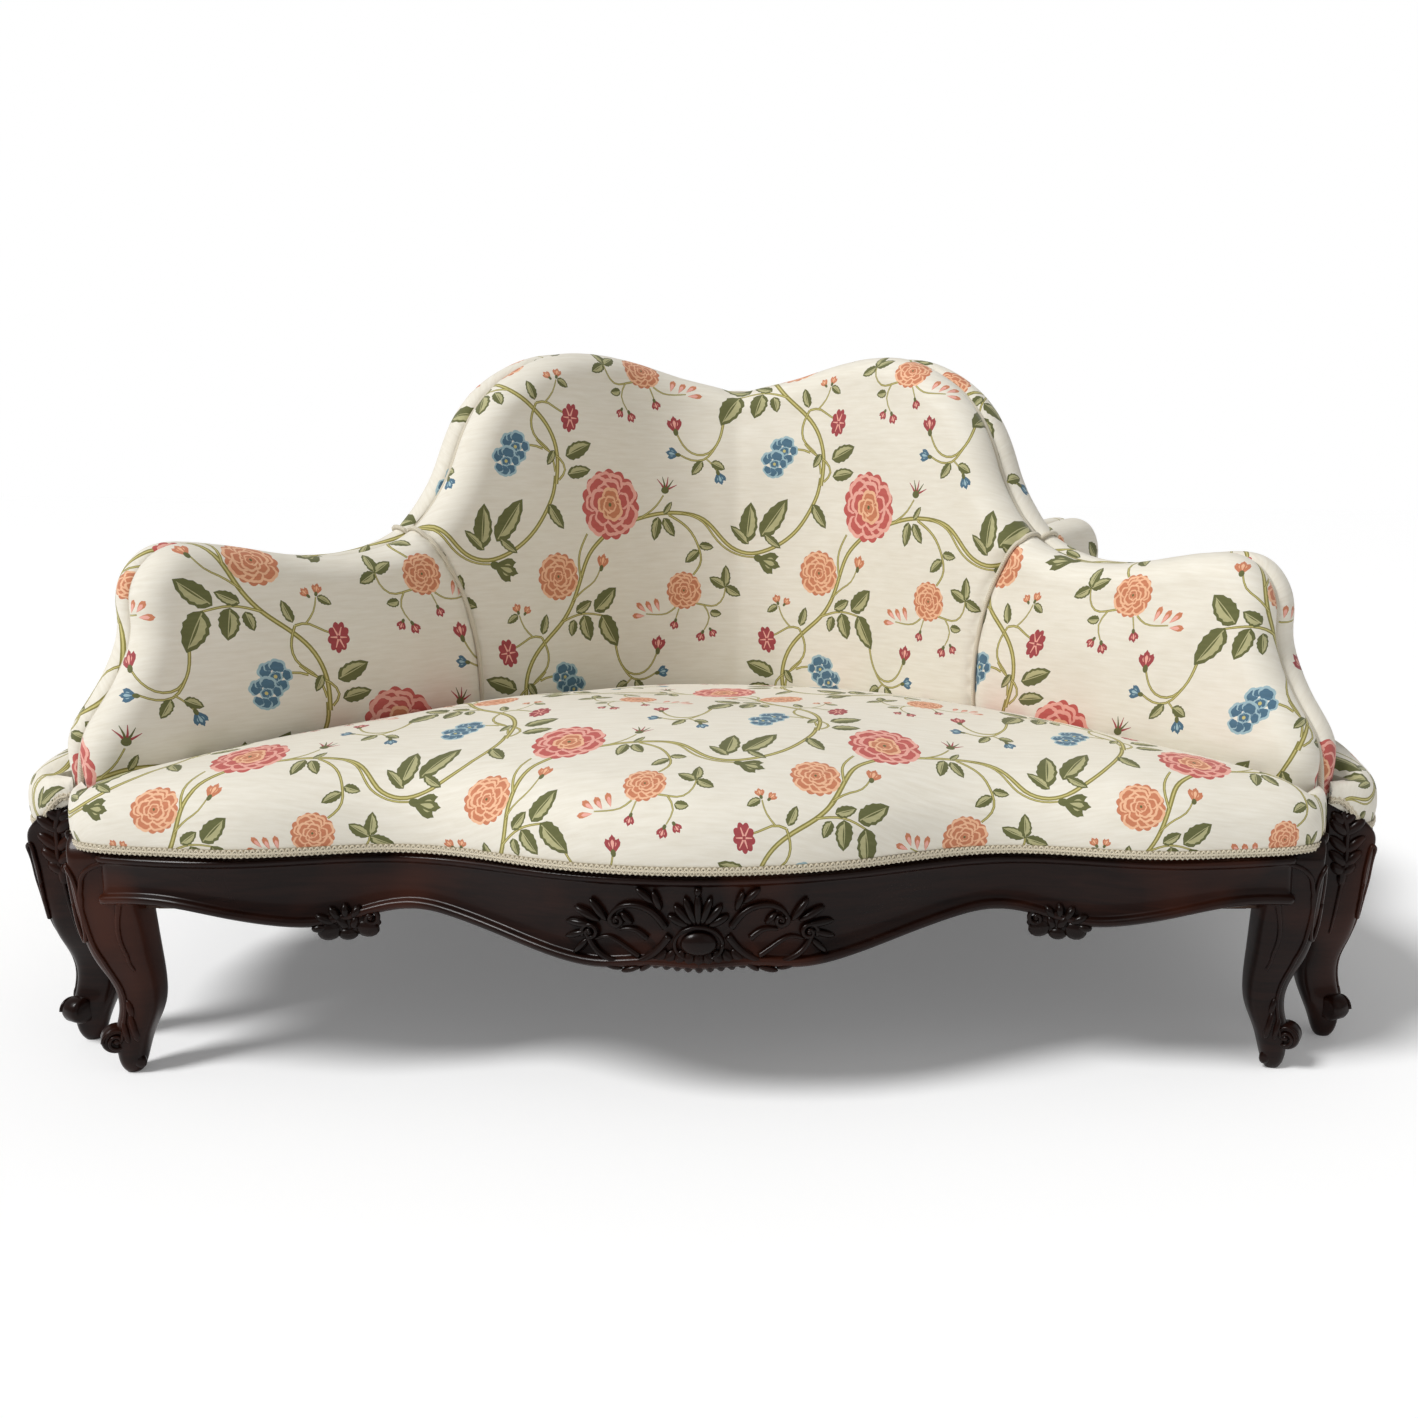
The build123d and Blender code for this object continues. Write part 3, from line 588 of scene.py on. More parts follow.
def fits(size):
    """How often a size in mm fits into a metre: the scale of a pattern as large as that."""
    return 1 / (size * MM)


def node(owner, kind, sockets=(), into=None, **settings):
    """A shader node with its settings. Each of sockets is (socket, value) or (socket, other node, its
    output); into is (node, socket, own output) for what the new node feeds."""
    made = owner.node_tree.nodes.new("ShaderNode" + kind)
    for name, value in settings.items():
        if name.replace("_", " ") in made.inputs:
            made.inputs[name.replace("_", " ")].default_value = value
        else:
            setattr(made, name, value)
    for socket, *given in sockets:
        if len(given) == 1:
            made.inputs[socket].default_value = given[0]
        else:
            owner.node_tree.links.new(given[0].outputs[given[1]], made.inputs[socket])
    if into:
        fed, socket, output = into
        owner.node_tree.links.new(made.outputs[output], fed.inputs[socket])
    return made


def finish(name, code, **sockets):
    """A material with one surface shader of that colour, and the shader."""
    material = bpy.data.materials.new(name)
    material.use_nodes = True
    shader = material.node_tree.nodes["Principled BSDF"]
    shader.inputs["Base Color"].default_value = linear(code)
    for socket, value in sockets.items():
        shader.inputs[socket.replace("_", " ")].default_value = value
    return material, shader


def woven(name, code, shade, rough=0.82):
    """Silk-and-cotton brocade, jacquard woven: dull cloth whose picks run across it as fine ribs, with
    slubs 40 mm long and 5 mm high that lighten and darken it. The picks are 0.6 mm apart on such cloth
    and drawn 1.3 mm apart, so that they show."""
    material, shader = finish(name, code, Roughness=rough, Sheen_Weight=0.25, Sheen_Roughness=0.4,
                              Specular_IOR_Level=0.25)
    cloth = node(material, "UVMap", uv_map="cloth")
    spread = node(material, "Mapping", [("Vector", cloth, "UV")], Scale=(fits(40), fits(5), 1))
    slub = node(material, "TexNoise", [("Vector", spread, "Vector")], Scale=1.0, Detail=3.0, Roughness=0.6)
    picks = node(material, "TexWave", [("Vector", cloth, "UV")], bands_direction="Y", Scale=BAND * fits(1.3),
                 Distortion=0.6, Detail=1.0)
    both = node(material, "Math", [(0, slub, "Fac"), (1, picks, "Fac")], operation="MULTIPLY")
    tone = node(material, "MapRange", [("Value", slub, "Fac")], From_Min=0.3, From_Max=0.75, To_Max=0.5)
    node(material, "Mix", [(MIX_FACTOR, tone, "Result"), (MIX_A, linear(code)), (MIX_B, linear(shade))],
         (shader, "Base Color", MIX_OUT), data_type="RGBA")
    node(material, "Bump", [("Height", both, "Value")], (shader, "Normal", "Normal"), Distance=0.25 * MM)
    return material


def polished_mahogany(name, code, dark, red):
    """Mahogany stained near black and french polished: a deep shine over ribbons of grain 8 mm high and
    83 mm long, redder where the polish is rubbed thin, in patches of about 200 mm."""
    material, shader = finish(name, code, Specular_IOR_Level=0.1, Coat_Weight=0.12, Coat_Roughness=0.08)
    place = node(material, "TexCoord")
    run = node(material, "Mapping", [("Vector", place, "Object")],
               Scale=(fits(83.33), fits(83.33), fits(8.333)))
    grain = node(material, "TexNoise", [("Vector", run, "Vector")], Scale=1.0, Detail=6.0, Roughness=0.65,
                 Distortion=0.4)
    patch = node(material, "TexNoise", [("Vector", place, "Object")], Scale=fits(200), Detail=2.0)
    band = node(material, "MapRange", [("Value", grain, "Fac")], From_Min=0.3, From_Max=0.7)
    ribbons = node(material, "Mix",
                   [(MIX_FACTOR, band, "Result"), (MIX_A, linear(dark)), (MIX_B, linear(code))],
                   data_type="RGBA")
    worn = node(material, "MapRange", [("Value", patch, "Fac")], From_Min=0.5, From_Max=0.75, To_Max=0.75)
    node(material, "Mix", [(MIX_FACTOR, worn, "Result"), (MIX_A, ribbons, MIX_OUT), (MIX_B, linear(red))],
         (shader, "Base Color", MIX_OUT), data_type="RGBA")
    node(material, "MapRange", [("Value", patch, "Fac")], (shader, "Roughness", "Result"), To_Min=0.2,
         To_Max=0.42)
    node(material, "Bump", [("Height", grain, "Fac")], (shader, "Normal", "Normal"), Distance=0.12 * MM)
    return material


def plain_wood(name, code, dark):
    """Beech, sawn and planed: dull wood with dark flecks that stand upright. Such flecks are about 2 mm
    wide and drawn 8 mm wide and 42 mm long, so that they show."""
    material, shader = finish(name, code, Roughness=0.62)
    place = node(material, "TexCoord")
    run = node(material, "Mapping", [("Vector", place, "Object")],
               Scale=(fits(8.333), fits(8.333), fits(41.67)))
    grain = node(material, "TexNoise", [("Vector", run, "Vector")], Scale=1.0, Detail=5.0)
    node(material, "Mix", [(MIX_FACTOR, grain, "Fac"), (MIX_A, linear(code)), (MIX_B, linear(dark))],
         (shader, "Base Color", MIX_OUT), data_type="RGBA")
    node(material, "Bump", [("Height", grain, "Fac")], (shader, "Normal", "Normal"), Distance=0.2 * MM)
    return material


def plain_cloth(name, code, shade, thread):
    """Plain woven or twisted cotton, linen or jute: dull cloth with an even thread that runs aslant. Most
    such threads are under 1 mm thick and drawn as coarse as this, so that they show."""
    material, shader = finish(name, code, Roughness=0.85, Sheen_Weight=0.3)
    place = node(material, "TexCoord")
    weave = node(material, "TexWave", [("Vector", place, "Object")], bands_direction="DIAGONAL",
                 Scale=BAND * fits(thread), Distortion=1.5)
    node(material, "Mix", [(MIX_FACTOR, weave, "Fac"), (MIX_A, linear(code)), (MIX_B, linear(shade))],
         (shader, "Base Color", MIX_OUT), data_type="RGBA")
    node(material, "Bump", [("Height", weave, "Fac")], (shader, "Normal", "Normal"), Distance=0.3 * MM)
    return material


def zinc_steel(name):
    """Zinc-plated steel: a grey metal with a soft bloom, in spots of about 17 mm."""
    material, shader = finish(name, "#9A9C9C", Metallic=1.0, Roughness=0.42)
    place = node(material, "TexCoord")
    bloom = node(material, "TexNoise", [("Vector", place, "Object")], Scale=fits(16.667), Detail=3.0)
    node(material, "Mix",
         [(MIX_FACTOR, bloom, "Fac"), (MIX_A, linear("#A8AAAA")), (MIX_B, linear("#7E8080"))],
         (shader, "Base Color", MIX_OUT), data_type="RGBA")
    return material


BROCADE = [woven("brocade_" + name, *codes) for name, *codes in (
    ("ground", "#EAE5D8", "#D9D0BC", 0.7), ("rose", "#C4615B", "#AB4E47"),
    ("rose_pale", "#EBB0A2", "#DE9686"), ("coral", "#CD8462", "#B56C4D"),
    ("coral_pale", "#EEBF9B", "#E0A47F"), ("blue", "#52748A", "#425E70"),
    ("blue_pale", "#A4BFC6", "#86A6B2"), ("leaf", "#696B42", "#555832"),
    ("leaf_pale", "#B7B386", "#9F9C70"), ("stem", "#8F8749", "#7A733C"),
    ("stem_pale", "#C9BF7E", "#B5AA68"), ("bud", "#A84B4E", "#8B3B3F"))]
piping_cloth = plain_cloth("cotton_piping", "#DDD5C2", "#C6BCA6", 1.5)
gimp_cord = plain_cloth("gimp_cord", "#DDD3BD", "#C3B79D", 1.2)
gimp_ground = plain_cloth("gimp_ground", "#A3977C", "#8C8067", 1.2)
mahogany = polished_mahogany("french_polished_mahogany", "#21100B", "#100604", "#4C2415")
carved_mahogany = polished_mahogany("carved_mahogany", "#170B08", "#0B0503", "#2C140C")
beech = plain_wood("planed_beech", "#C9A578", "#B08A5C")
stained_beech = plain_wood("stained_beech", "#4A2F1E", "#352013")
calico = plain_cloth("spring_calico", "#D8CDB4", "#C4B89C", 3.0)
jute = plain_cloth("jute_webbing", "#9C7F52", "#7C6340", 3.0)
black_cloth = plain_cloth("black_cambric", "#17171A", "#0E0E10", 2.0)
steel = zinc_steel("zinc_steel")


# ---------------------------------------------------------------- meshes
def make_mesh(name, places, faces, materials):
    """A smooth mesh from places in mm."""
    mesh = bpy.data.meshes.new(name)
    mesh.from_pydata([tuple(p) for p in np.asarray(places) * MM], [], [tuple(map(int, f)) for f in faces])
    for material in materials:
        mesh.materials.append(material)
    mesh.polygons.foreach_set("use_smooth", [True] * len(mesh.polygons))
    mesh.update()
    return mesh


def lay_cloth(mesh, colours, cloth, normals, sheet_faces):
    """A pad's colour by face, its places on the cloth, and its sheet's normals; its lining stays flat."""
    mesh.polygons.foreach_set("material_index", [int(i) for i in colours])
    corners = np.empty(len(mesh.loops), np.int32)
    mesh.loops.foreach_get("vertex_index", corners)
    layer = mesh.uv_layers.new(name="cloth")
    layer.data.foreach_set("uv", (cloth[corners] * MM).astype(np.float32).ravel())
    sizes = np.empty(len(mesh.polygons), np.int32)
    mesh.polygons.foreach_get("loop_total", sizes)
    face_normals = np.empty(len(mesh.polygons) * 3, np.float32)
    mesh.polygons.foreach_get("normal", face_normals)
    of_face = np.repeat(face_normals.reshape(-1, 3), sizes, axis=0)
    smooth = np.repeat(np.arange(len(sizes)) < sheet_faces, sizes)
    chosen = np.where(smooth[:, None], normals[np.minimum(corners, len(normals) - 1)], of_face)
    mesh.normals_split_custom_set([tuple(n) for n in chosen])
    mesh.update()


def stand(name, mesh, slot, replaced=None, grouped=None, fill=None):
    """The mesh in its four places, for each section's own node or for one node of all four."""
    for section, turn in SECTIONS.items():
        piece = bpy.data.objects.new(f"{section}_{name}", mesh)
        bpy.context.collection.objects.link(piece)
        piece.rotation_euler.z = math.radians(turn)
        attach(piece, "root")
        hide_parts(grouped or f"{section}_{replaced}")


def rim_loops(triangles):
    """The boundary loops of a triangulated sheet, in face order."""
    edges = dict.fromkeys(edge for a, b, c in triangles for edge in ((a, b), (b, c), (c, a)))
    after = {a: b for a, b in edges if (b, a) not in edges}
    loops = []
    while after:
        first, at = next(iter(after.items()))
        loop = [first]
        del after[first]
        while at != first:
            loop.append(at)
            at = after.pop(at)
        loops.append(loop)
    return loops


def closed_pad(name, outline, shapes, grid, carry, close):
    """A pad: a sheet of cut cloth carried to its place, closed behind by a plain lining."""
    flat, triangles, colours = cut_cloth(outline, shapes, grid)
    places = carry(flat)
    loop = max(rim_loops(triangles), key=len)
    behind = close(flat[loop], places[loop])
    moved = np.linalg.norm(behind - places[loop], axis=1) > 0.2
    numbers = np.array(loop)
    numbers[moved] = len(places) + np.arange(moved.sum())
    faces = [list(t) for t in triangles]
    for i in range(len(loop)):
        j = (i + 1) % len(loop)
        ring = [loop[j], loop[i], numbers[i], numbers[j]]
        ring = [v for k, v in enumerate(ring) if v != ring[k - 1]]
        if len(set(ring)) > 2:
            faces.append(ring)
    faces += close_sheet(flat[loop], numbers)
    mesh = make_mesh(name, np.vstack([places, behind[moved]]), faces, BROCADE)
    lay_cloth(mesh, np.r_[colours, np.zeros(len(faces) - len(colours), int)],
              np.vstack([flat, flat[loop][moved]]), surface_normals(carry, flat), len(triangles))
    return mesh


def close_sheet(rim, numbers):
    """Triangles that fill a rim from behind, folded along the middle line."""
    places = [Vector(p) for p in rim]
    crossings = [i for i in range(len(rim)) if abs(rim[i][0]) < 1e-6]
    edges = [(crossings[0], crossings[-1])] if len(crossings) > 1 else []
    _, _, triangles, sources, _, owners = delaunay_2d_cdt(places, edges, [list(range(len(rim)))], 1, 1e-5)
    kept = []
    for triangle, owner in zip(triangles, owners):
        corners = [numbers[sources[v][0]] for v in triangle if sources[v]]
        if owner and len(set(corners)) == 3:
            kept.append(corners[::-1])
    return kept


def grid_over(low, high, pitch):
    """A staggered grid of places over a box."""
    xs = np.arange(low[0], high[0], pitch)
    ys = np.arange(low[1], high[1], pitch * 0.87)
    x, y = np.meshgrid(xs, ys)
    x = x + (np.arange(len(ys)) % 2)[:, None] * pitch / 2
    return np.column_stack([x.ravel(), y.ravel()])


def stand_pad(name, outline, rose_at, near_edge, coarse, carry, close, replaced, size=1.0, lean=0.0):
    """One pad, laid out finely near its edge, with a great rose at that place of its cloth."""
    low, high = outline.min(0), outline.max(0)
    fine = grid_over(low, high, 8)
    grid = np.vstack([fine[near_edge(fine)], grid_over(low, high, coarse)])
    shapes = pattern(rose_at, low, high, size, lean)
    stand(name, closed_pad(name, outline, shapes, grid, carry, close), "brocade", replaced, fill=0.9)


# ---------------------------------------------------------------- the walls' pads
def wall_reach(line):
    """How far the walls' cloth runs out past their outline, down into the groove."""
    return FRONT_RUN + flat_run(line[:, 0], line[:, 1]) + REAR_RUN - ROLL_IN


def wall_behind(flat, places):
    """A wall pad's rim, drawn back to the groove."""
    foot, out, beyond = nearest(wall_line, wall_normals, flat)
    _, back, _ = wall_face_and_back(np.abs(flat[:, 0]), flat[:, 1])
    within = np.column_stack([back * np.column_stack([np.where(flat[:, 0] < 0, -1, 1), np.ones(len(flat))]),
                              flat[:, 1]])
    outer = wall_base(foot + out * wall_reach(foot)[:, None])[0]
    return np.where((beyond < -1)[:, None], within, outer)


def near_wall_edge(places):
    """Which places of cloth lie on a wall's roll."""
    return nearest(wall_line, wall_normals, places)[2] > -ROLL_IN - 6


wall_rim = wall_line + wall_normals * wall_reach(wall_line)[:, None]
seam_at = int(np.linalg.norm(wall_line - seam_half[0], axis=1).argmin())
seam_mirror = len(wall_line) - 1 - seam_at
seam_over = wall_line[seam_at] + np.linspace(1, 0.12, 8)[:, None] * (wall_rim[seam_at] - wall_line[seam_at])
seam_down = seam_half[(seam_half[:, 1] > PAD_FOOT + 2) & (seam_half[:, 1] < 668)]
seam_path = np.vstack([seam_over, wall_line[seam_at], seam_down, (seam_half[-1][0], PAD_FOOT)])
back_outline = np.vstack([seam_path[::-1], wall_rim[seam_mirror + 1:seam_at][::-1], seam_path * (-1, 1),
                          (0, PAD_FOOT)])
end_run = wall_rim[seam_at + 1:][wall_line[seam_at + 1:, 1] > PAD_FOOT]
arm_outline = np.vstack([seam_path[::-1], end_run, (end_run[-1][0], PAD_FOOT)])
for name, outline, replaced, rose_at, lean in (
        ("back_cushion", back_outline, "back_pad", (242, 704), 0.0),
        ("arm_cushion_right", arm_outline, "arm_pad_right", (617, 388), 0.2),
        ("arm_cushion_left", arm_outline * (-1, 1), "arm_pad_left", (-591, 399), -0.12)):
    stand_pad(name, outline, rose_at, near_wall_edge, 15, wall_cloth, wall_behind, replaced, lean=lean)


# ---------------------------------------------------------------- the seat's pad
def seat_behind(flat, places):
    """The seat pad's rim, brought down to its flat foot."""
    behind = places.copy()
    edge = distance_to(seat_back, flat) < 2
    behind[edge, 2] = SEAT_FOOT + corner_rise(flat[edge, 0], flat[edge, 1])
    return behind


def near_seat_edge(places):
    """Which places of cloth lie near the seat's front edge or its back."""
    return (nearest(seat_line, seat_normals, places)[2] > -40) | (distance_to(seat_back, places) < 40)


seat_outline = np.vstack([seat_line + seat_normals * SEAT_HANG, seat_back])
stand_pad("seat_cushion", seat_outline, (221, -820), near_seat_edge, 18, seat_place, seat_behind, "seat_pad",
          size=0.855)


# ---------------------------------------------------------------- cords, bumps and lofts
def tube(path, radius, sides=8):
    """A round cord along a path; its radius may change along it."""
    path = np.asarray(path, float)
    along = np.gradient(path, axis=0)
    along /= np.maximum(np.linalg.norm(along, axis=1), 1e-9)[:, None]
    angle = around(sides)[:, None]
    side = np.cross(along[0], (0.31, 0.52, 0.79))  # askew to every path here
    rings = []
    for point, way, size in zip(path, along, np.broadcast_to(radius, len(path))):
        side = side - way * (side @ way)
        side /= np.linalg.norm(side)
        rings.append(point + size * (np.cos(angle) * side + np.sin(angle) * np.cross(way, side)))
    return loft(rings)


def loft(rings):
    """Faces over closed rings of equal count, with flat ends."""
    rings = np.asarray(rings)
    rows, count = rings.shape[:2]
    faces = [[i * count + j, i * count + (j + 1) % count, (i + 1) * count + (j + 1) % count,
              (i + 1) * count + j] for i in range(rows - 1) for j in range(count)]
    faces += [list(range(count))[::-1], [(rows - 1) * count + j for j in range(count)]]
    return rings.reshape(-1, 3), faces


def bump(centre, length, width, height):
    """An egg-shaped bump with these half-axes, as vectors."""
    centre, length, width, height = (np.asarray(v) for v in (centre, length, width, height))
    angle = around(12)[:, None]
    girth = np.cos(angle) * width + np.sin(angle) * height
    return loft([centre + math.sin(lean) * length + math.cos(lean) * girth
                 for lean in np.radians((-84, -60, -36, -12, 12, 36, 60, 84))])


def joined(parts):
    """Several bodies as one."""
    places, faces, count = [], [], 0
    for own, polygons in parts:
        places.append(own)
        faces += [[v + count for v in polygon] for polygon in polygons]
        count += len(own)
    return np.vstack(places), faces


def solid_mesh(name, body, material):
    """A mesh of one or more closed bodies, with its faces turned outwards."""
    mesh = make_mesh(name, *body, [material])
    work = bmesh.new()
    work.from_mesh(mesh)
    bmesh.ops.recalc_face_normals(work, faces=work.faces)
    work.to_mesh(mesh)
    work.free()
    return mesh


def stand_solid(name, body, material, slot, **nodes):
    """Closed bodies as one piece in its four places."""
    stand(name, solid_mesh(name, body, material), slot, **nodes)


def mirror_image(body):
    """A body on the section's other side."""
    places, faces = body
    return places * (-1, 1, 1), [face[::-1] for face in faces]


def both_hands(parts):
    """Bodies with their mirror images."""
    return parts + [mirror_image(part) for part in parts]


# ---------------------------------------------------------------- piping and gimp
SEAM_PIPE, SEAM_OUT = 3.3, 3.2  # the seams' piping: its radius, and how far out of the cloth it lies
EDGE_PIPE, EDGE_IN = 4.3, 10  # the piping in the groove: its radius, and how far below the walls' edge
seam_lay = wall_cloth(seam_path)
seam_lay += surface_normals(wall_cloth, seam_path) * SEAM_OUT
seam_cords = joined(both_hands([tube(seam_lay, SEAM_PIPE)]))
stand_solid("seam_piping", seam_cords, piping_cloth, "gimp", grouped="seam_cords")

edge_line = curve_through([*TOP_LINE, *ARM_LINE], 8)
edge_line = (edge_line - side_normals(edge_line, 1) * EDGE_IN)[2:]
edge_piping = tube(np.column_stack([wall_xy(edge_line[:, 0], 0), edge_line[:, 1]]), EDGE_PIPE)
stand_solid("edge_piping", edge_piping, piping_cloth, "gimp", grouped="edge_welts")

BRAID_STEP, BRAID_PERIOD = 1.25, 6.6  # between the braid's points, and between its twists
braid_line = curve_through(seat_line, BRAID_STEP)
braid_out = side_normals(braid_line, -1)
braid_foot = SEAT_FOOT + corner_rise(braid_line[:, 0], braid_line[:, 1])


def braid_path(height, out):
    """A path along the braid, so high above its foot and so far out."""
    return np.column_stack([braid_line + braid_out * out, braid_foot + height])


wave = 2.1 * np.sin(np.arange(len(braid_line)) * BRAID_STEP * 2 * math.pi / BRAID_PERIOD)
band = [braid_path(high, out) for out, high in ((-6, 0.4), (-2.8, 0.4), (-2.0, 10.6), (-6, 10.6))]
stand_solid("gimp_band", loft(np.stack(band, 1)[::4]), gimp_ground, "gimp", grouped="gimp_braids")
braid_cords = [tube(braid_path(2.9 + wave, -1.6), 1.25, 6), tube(braid_path(8.1 - wave, -1.0), 1.25, 6),
               tube(braid_path(5.5, -1.0)[::4], 1.6, 6)]
stand_solid("gimp_cords", joined(braid_cords), gimp_cord, "gimp", grouped="gimp_braids")


# ---------------------------------------------------------------- the show rail
RAIL_PLAN = ((0, -978), (190, -941), (380, -876), (565, -905), (735, -882))  # its face, right half
RAIL_END, RAIL_DEPTH = 738.0, 30.0
# its lower edge, (x, z)
APRON_LINE = ((0, 184), (55, 187), (120, 182), (180, 190), (240, 205), (300, 219), (358, 227), (410, 219),
              (465, 207), (530, 213), (590, 226), (640, 235), (700, 236), (738, 232))
rail_plan = curve_through(both_sides(RAIL_PLAN), 5)
rail_out = side_normals(rail_plan, -1)
apron_line = curve_through(both_sides(APRON_LINE), 5)


def on_rail(x, z, out=0.0):
    """Places at x, z on the show rail's face, and so far out of it."""
    x, z, out = np.broadcast_arrays(np.asarray(x, float), z, out)
    y = np.interp(x, rail_plan[:, 0], rail_plan[:, 1])
    way = np.stack([np.interp(x, rail_plan[:, 0], rail_out[:, i]) for i in (0, 1)], -1)
    return np.column_stack([x + way[:, 0] * out, y + way[:, 1] * out, z])


def rail_section(low):
    """The rail's section: two beads with a shallow hollow between them, as (out, height)."""
    turn = np.radians((80, 45, 10, -25, -60, -85))
    top = np.column_stack([0.3 + 4.6 * np.cos(turn), 291.5 + 4.6 * np.sin(turn)])
    bottom = np.column_stack([0.8 + 5.6 * np.cos(turn), low + 7.2 + 5.6 * np.sin(turn)])
    field = [(-1.6, 285.8), (-2.8, 283), (-3.2, (283 + low + 16) / 2), (-2.8, low + 16), (-1.4, low + 13.4)]
    return np.vstack([(-RAIL_DEPTH, RAIL_TOP), (-1.5, RAIL_TOP), (-0.4, 297.5), top, field, bottom,
                      (-1.5, low), (-RAIL_DEPTH, low)])


rail_rings = []
for x in np.linspace(-RAIL_END, RAIL_END, 281):
    section = rail_section(np.interp(x, apron_line[:, 0], apron_line[:, 1]))
    sunk = 11 * ease(abs(x), 730, 738)  # into the leg's front
    rail_rings.append(on_rail(np.full(len(section), x), section[:, 1], section[:, 0] - sunk))
stand_solid("show_rail", loft(rail_rings), mahogany, "mahogany", replaced="seat_rail")


# ---------------------------------------------------------------- carving on the rail
def rail_tube(points, radius, end):
    """A raised, tapering strand that follows x, z points on the rail."""
    line = curve_through(points, 3)
    share = np.linspace(0, 1, len(line))
    radii = radius + (end - radius) * share
    return tube(on_rail(line[:, 0], line[:, 1], 1.5), np.minimum(radii, radius * 4 * (0.25 + share)))


def rail_volute(x, z, size, turns, start, sense, radius=3.0):
    """A spiral that winds in to an eye."""
    angle = start + sense * np.linspace(0, 2 * math.pi * turns, int(16 * turns))
    reach = size * np.linspace(1, 0.22, len(angle))
    place = on_rail(x + reach * np.cos(angle), z + reach * np.sin(angle), np.linspace(1.5, 5, len(angle)))
    return [tube(place, np.linspace(radius, radius * 0.7, len(angle)), 7),
            rail_bump(x, z, size * 0.34, size * 0.34, 0, 8)]


def rail_bump(x, z, long, wide, lean, high):
    """An egg-shaped bump on the rail, its long axis leaning by an angle from +X."""
    centre = on_rail([x], z, 0)[0]
    way = on_rail([x + 1], z, 0)[0] - on_rail([x - 1], z, 0)[0]
    way /= np.linalg.norm(way)
    up, out = np.array([0, 0, 1.0]), np.array([way[1], -way[0], 0])
    c, s = math.cos(lean), math.sin(lean)
    return bump(centre, (way * c + up * s) * long, (up * c - way * s) * wide, out * high)


# the cabochon, and the rim round it
relief = [rail_bump(0, 216, 22, 16, 0, 9)]
ring = np.linspace(0, 2 * math.pi, 40)
relief.append(tube(on_rail(28 * np.cos(ring), 216 + 21 * np.sin(ring), 3), 2.4, 7))
# the shell that hangs below it
for i in range(-5, 6):
    relief.append(rail_bump(11.5 * i, 194 + 0.9 * abs(i), 14, 7.4, -math.pi / 2 + i * 0.14,
                            6.5 - 0.3 * abs(i)))
# the fan of leaves that stands above it
for i in range(-3, 4):
    lean = math.pi / 2 - i * 0.36
    relief.append(rail_bump(27 * math.cos(lean), 232 + 26 * math.sin(lean), 20 - 2 * abs(i), 5.4, lean,
                            7.5 - 0.4 * abs(i)))
relief.append(rail_bump(0, 280, 6, 5, math.pi / 2, 7))
# the scrolled strands either side of it, with leaves: x, z, length, width and lean
relief += both_hands([
    rail_tube([(34, 226), (52, 205), (78, 192), (104, 194), (124, 208), (132, 224)], 5.2, 3.4),
    rail_tube([(38, 236), (56, 256), (78, 262), (100, 252), (104, 240), (94, 234)], 4.6, 2.6),
    rail_tube([(70, 200), (90, 214), (108, 222), (122, 218)], 3.6, 2.0),
    rail_tube([(60, 222), (74, 232), (92, 232)], 4.2, 2.0),
    *rail_volute(128, 226, 11, 1.4, -0.6, 1), *rail_volute(95, 243, 8, 1.2, 0.4, -1),
    *(rail_bump(*leaf_at, 6.4) for leaf_at in (
        (118, 254, 17, 5, 0.9), (132, 248, 18, 5, 0.45), (142, 236, 17, 5, 0.1),
        (146, 222, 15, 4.6, -0.3), (140, 208, 14, 4.6, -0.8), (62, 274, 14, 4.6, 0.7),
        (48, 268, 13, 4.6, 1.2), (60, 190, 13, 4.4, -0.7), (80, 184, 13, 4.2, -0.3),
        (102, 186, 12, 4.2, 0.2), (84, 246, 10, 4, 0.8)))])
# the small leaf sprays on the rail's two drops
relief += both_hands([
    rail_bump(436, 209, 37, 15, 0, 5), *rail_volute(411, 216, 11, 1.2, 1.2, 1, 3.4),
    *(rail_bump(*lobe_at, 8) for lobe_at in (
        (416, 203, 15, 12, 0.3), (438, 197, 12, 9, 0), (459, 202, 15, 13, -0.3))),
    *(rail_bump(*leaf_at, 8.5) for leaf_at in (
        (428, 224, 10, 6, 2.2), (440, 226, 10, 6, 1.6), (452, 223, 11, 6, 1.0), (463, 216, 13, 6, 0.5),
        (470, 206, 10, 6, -0.1), (444, 212, 12, 7, 0.9), (430, 211, 10, 6, 2.0)))])
stand_solid("rail_relief", joined(relief), carved_mahogany, "mahogany", replaced="rail_carvings")


# ---------------------------------------------------------------- cabriole legs
# height, centre x and y, width, depth and squareness of the right leg's sections
LEG = ((346, 764, -811, 18, 30, 3), (340, 762, -815, 26, 40, 3.6), (322, 755, -826, 44, 54, 5),
       (304, 746, -838, 62, 66, 7), (290, 738, -842, 72, 72, 9), (262, 739, -839, 74, 72, 7),
       (236, 739, -838, 74, 70, 5.5), (200, 738, -834, 76, 66, 4.4), (150, 732, -828, 68, 64, 3.6),
       (110, 723, -824, 53, 56, 3.2), (80, 723, -826, 47, 54, 3.2), (50, 731, -833, 42, 50, 2.9),
       (28, 733, -837, 35, 41, 2.6), (12, 734, -838, 29, 33, 2.4), (4, 734, -838, 23, 26, 2.2),
       (0, 734, -838, 17, 19, 2.2))
leg_rows = curve_through(LEG[::-1], 4)
leg_angle = around(56)
leg_rings = []
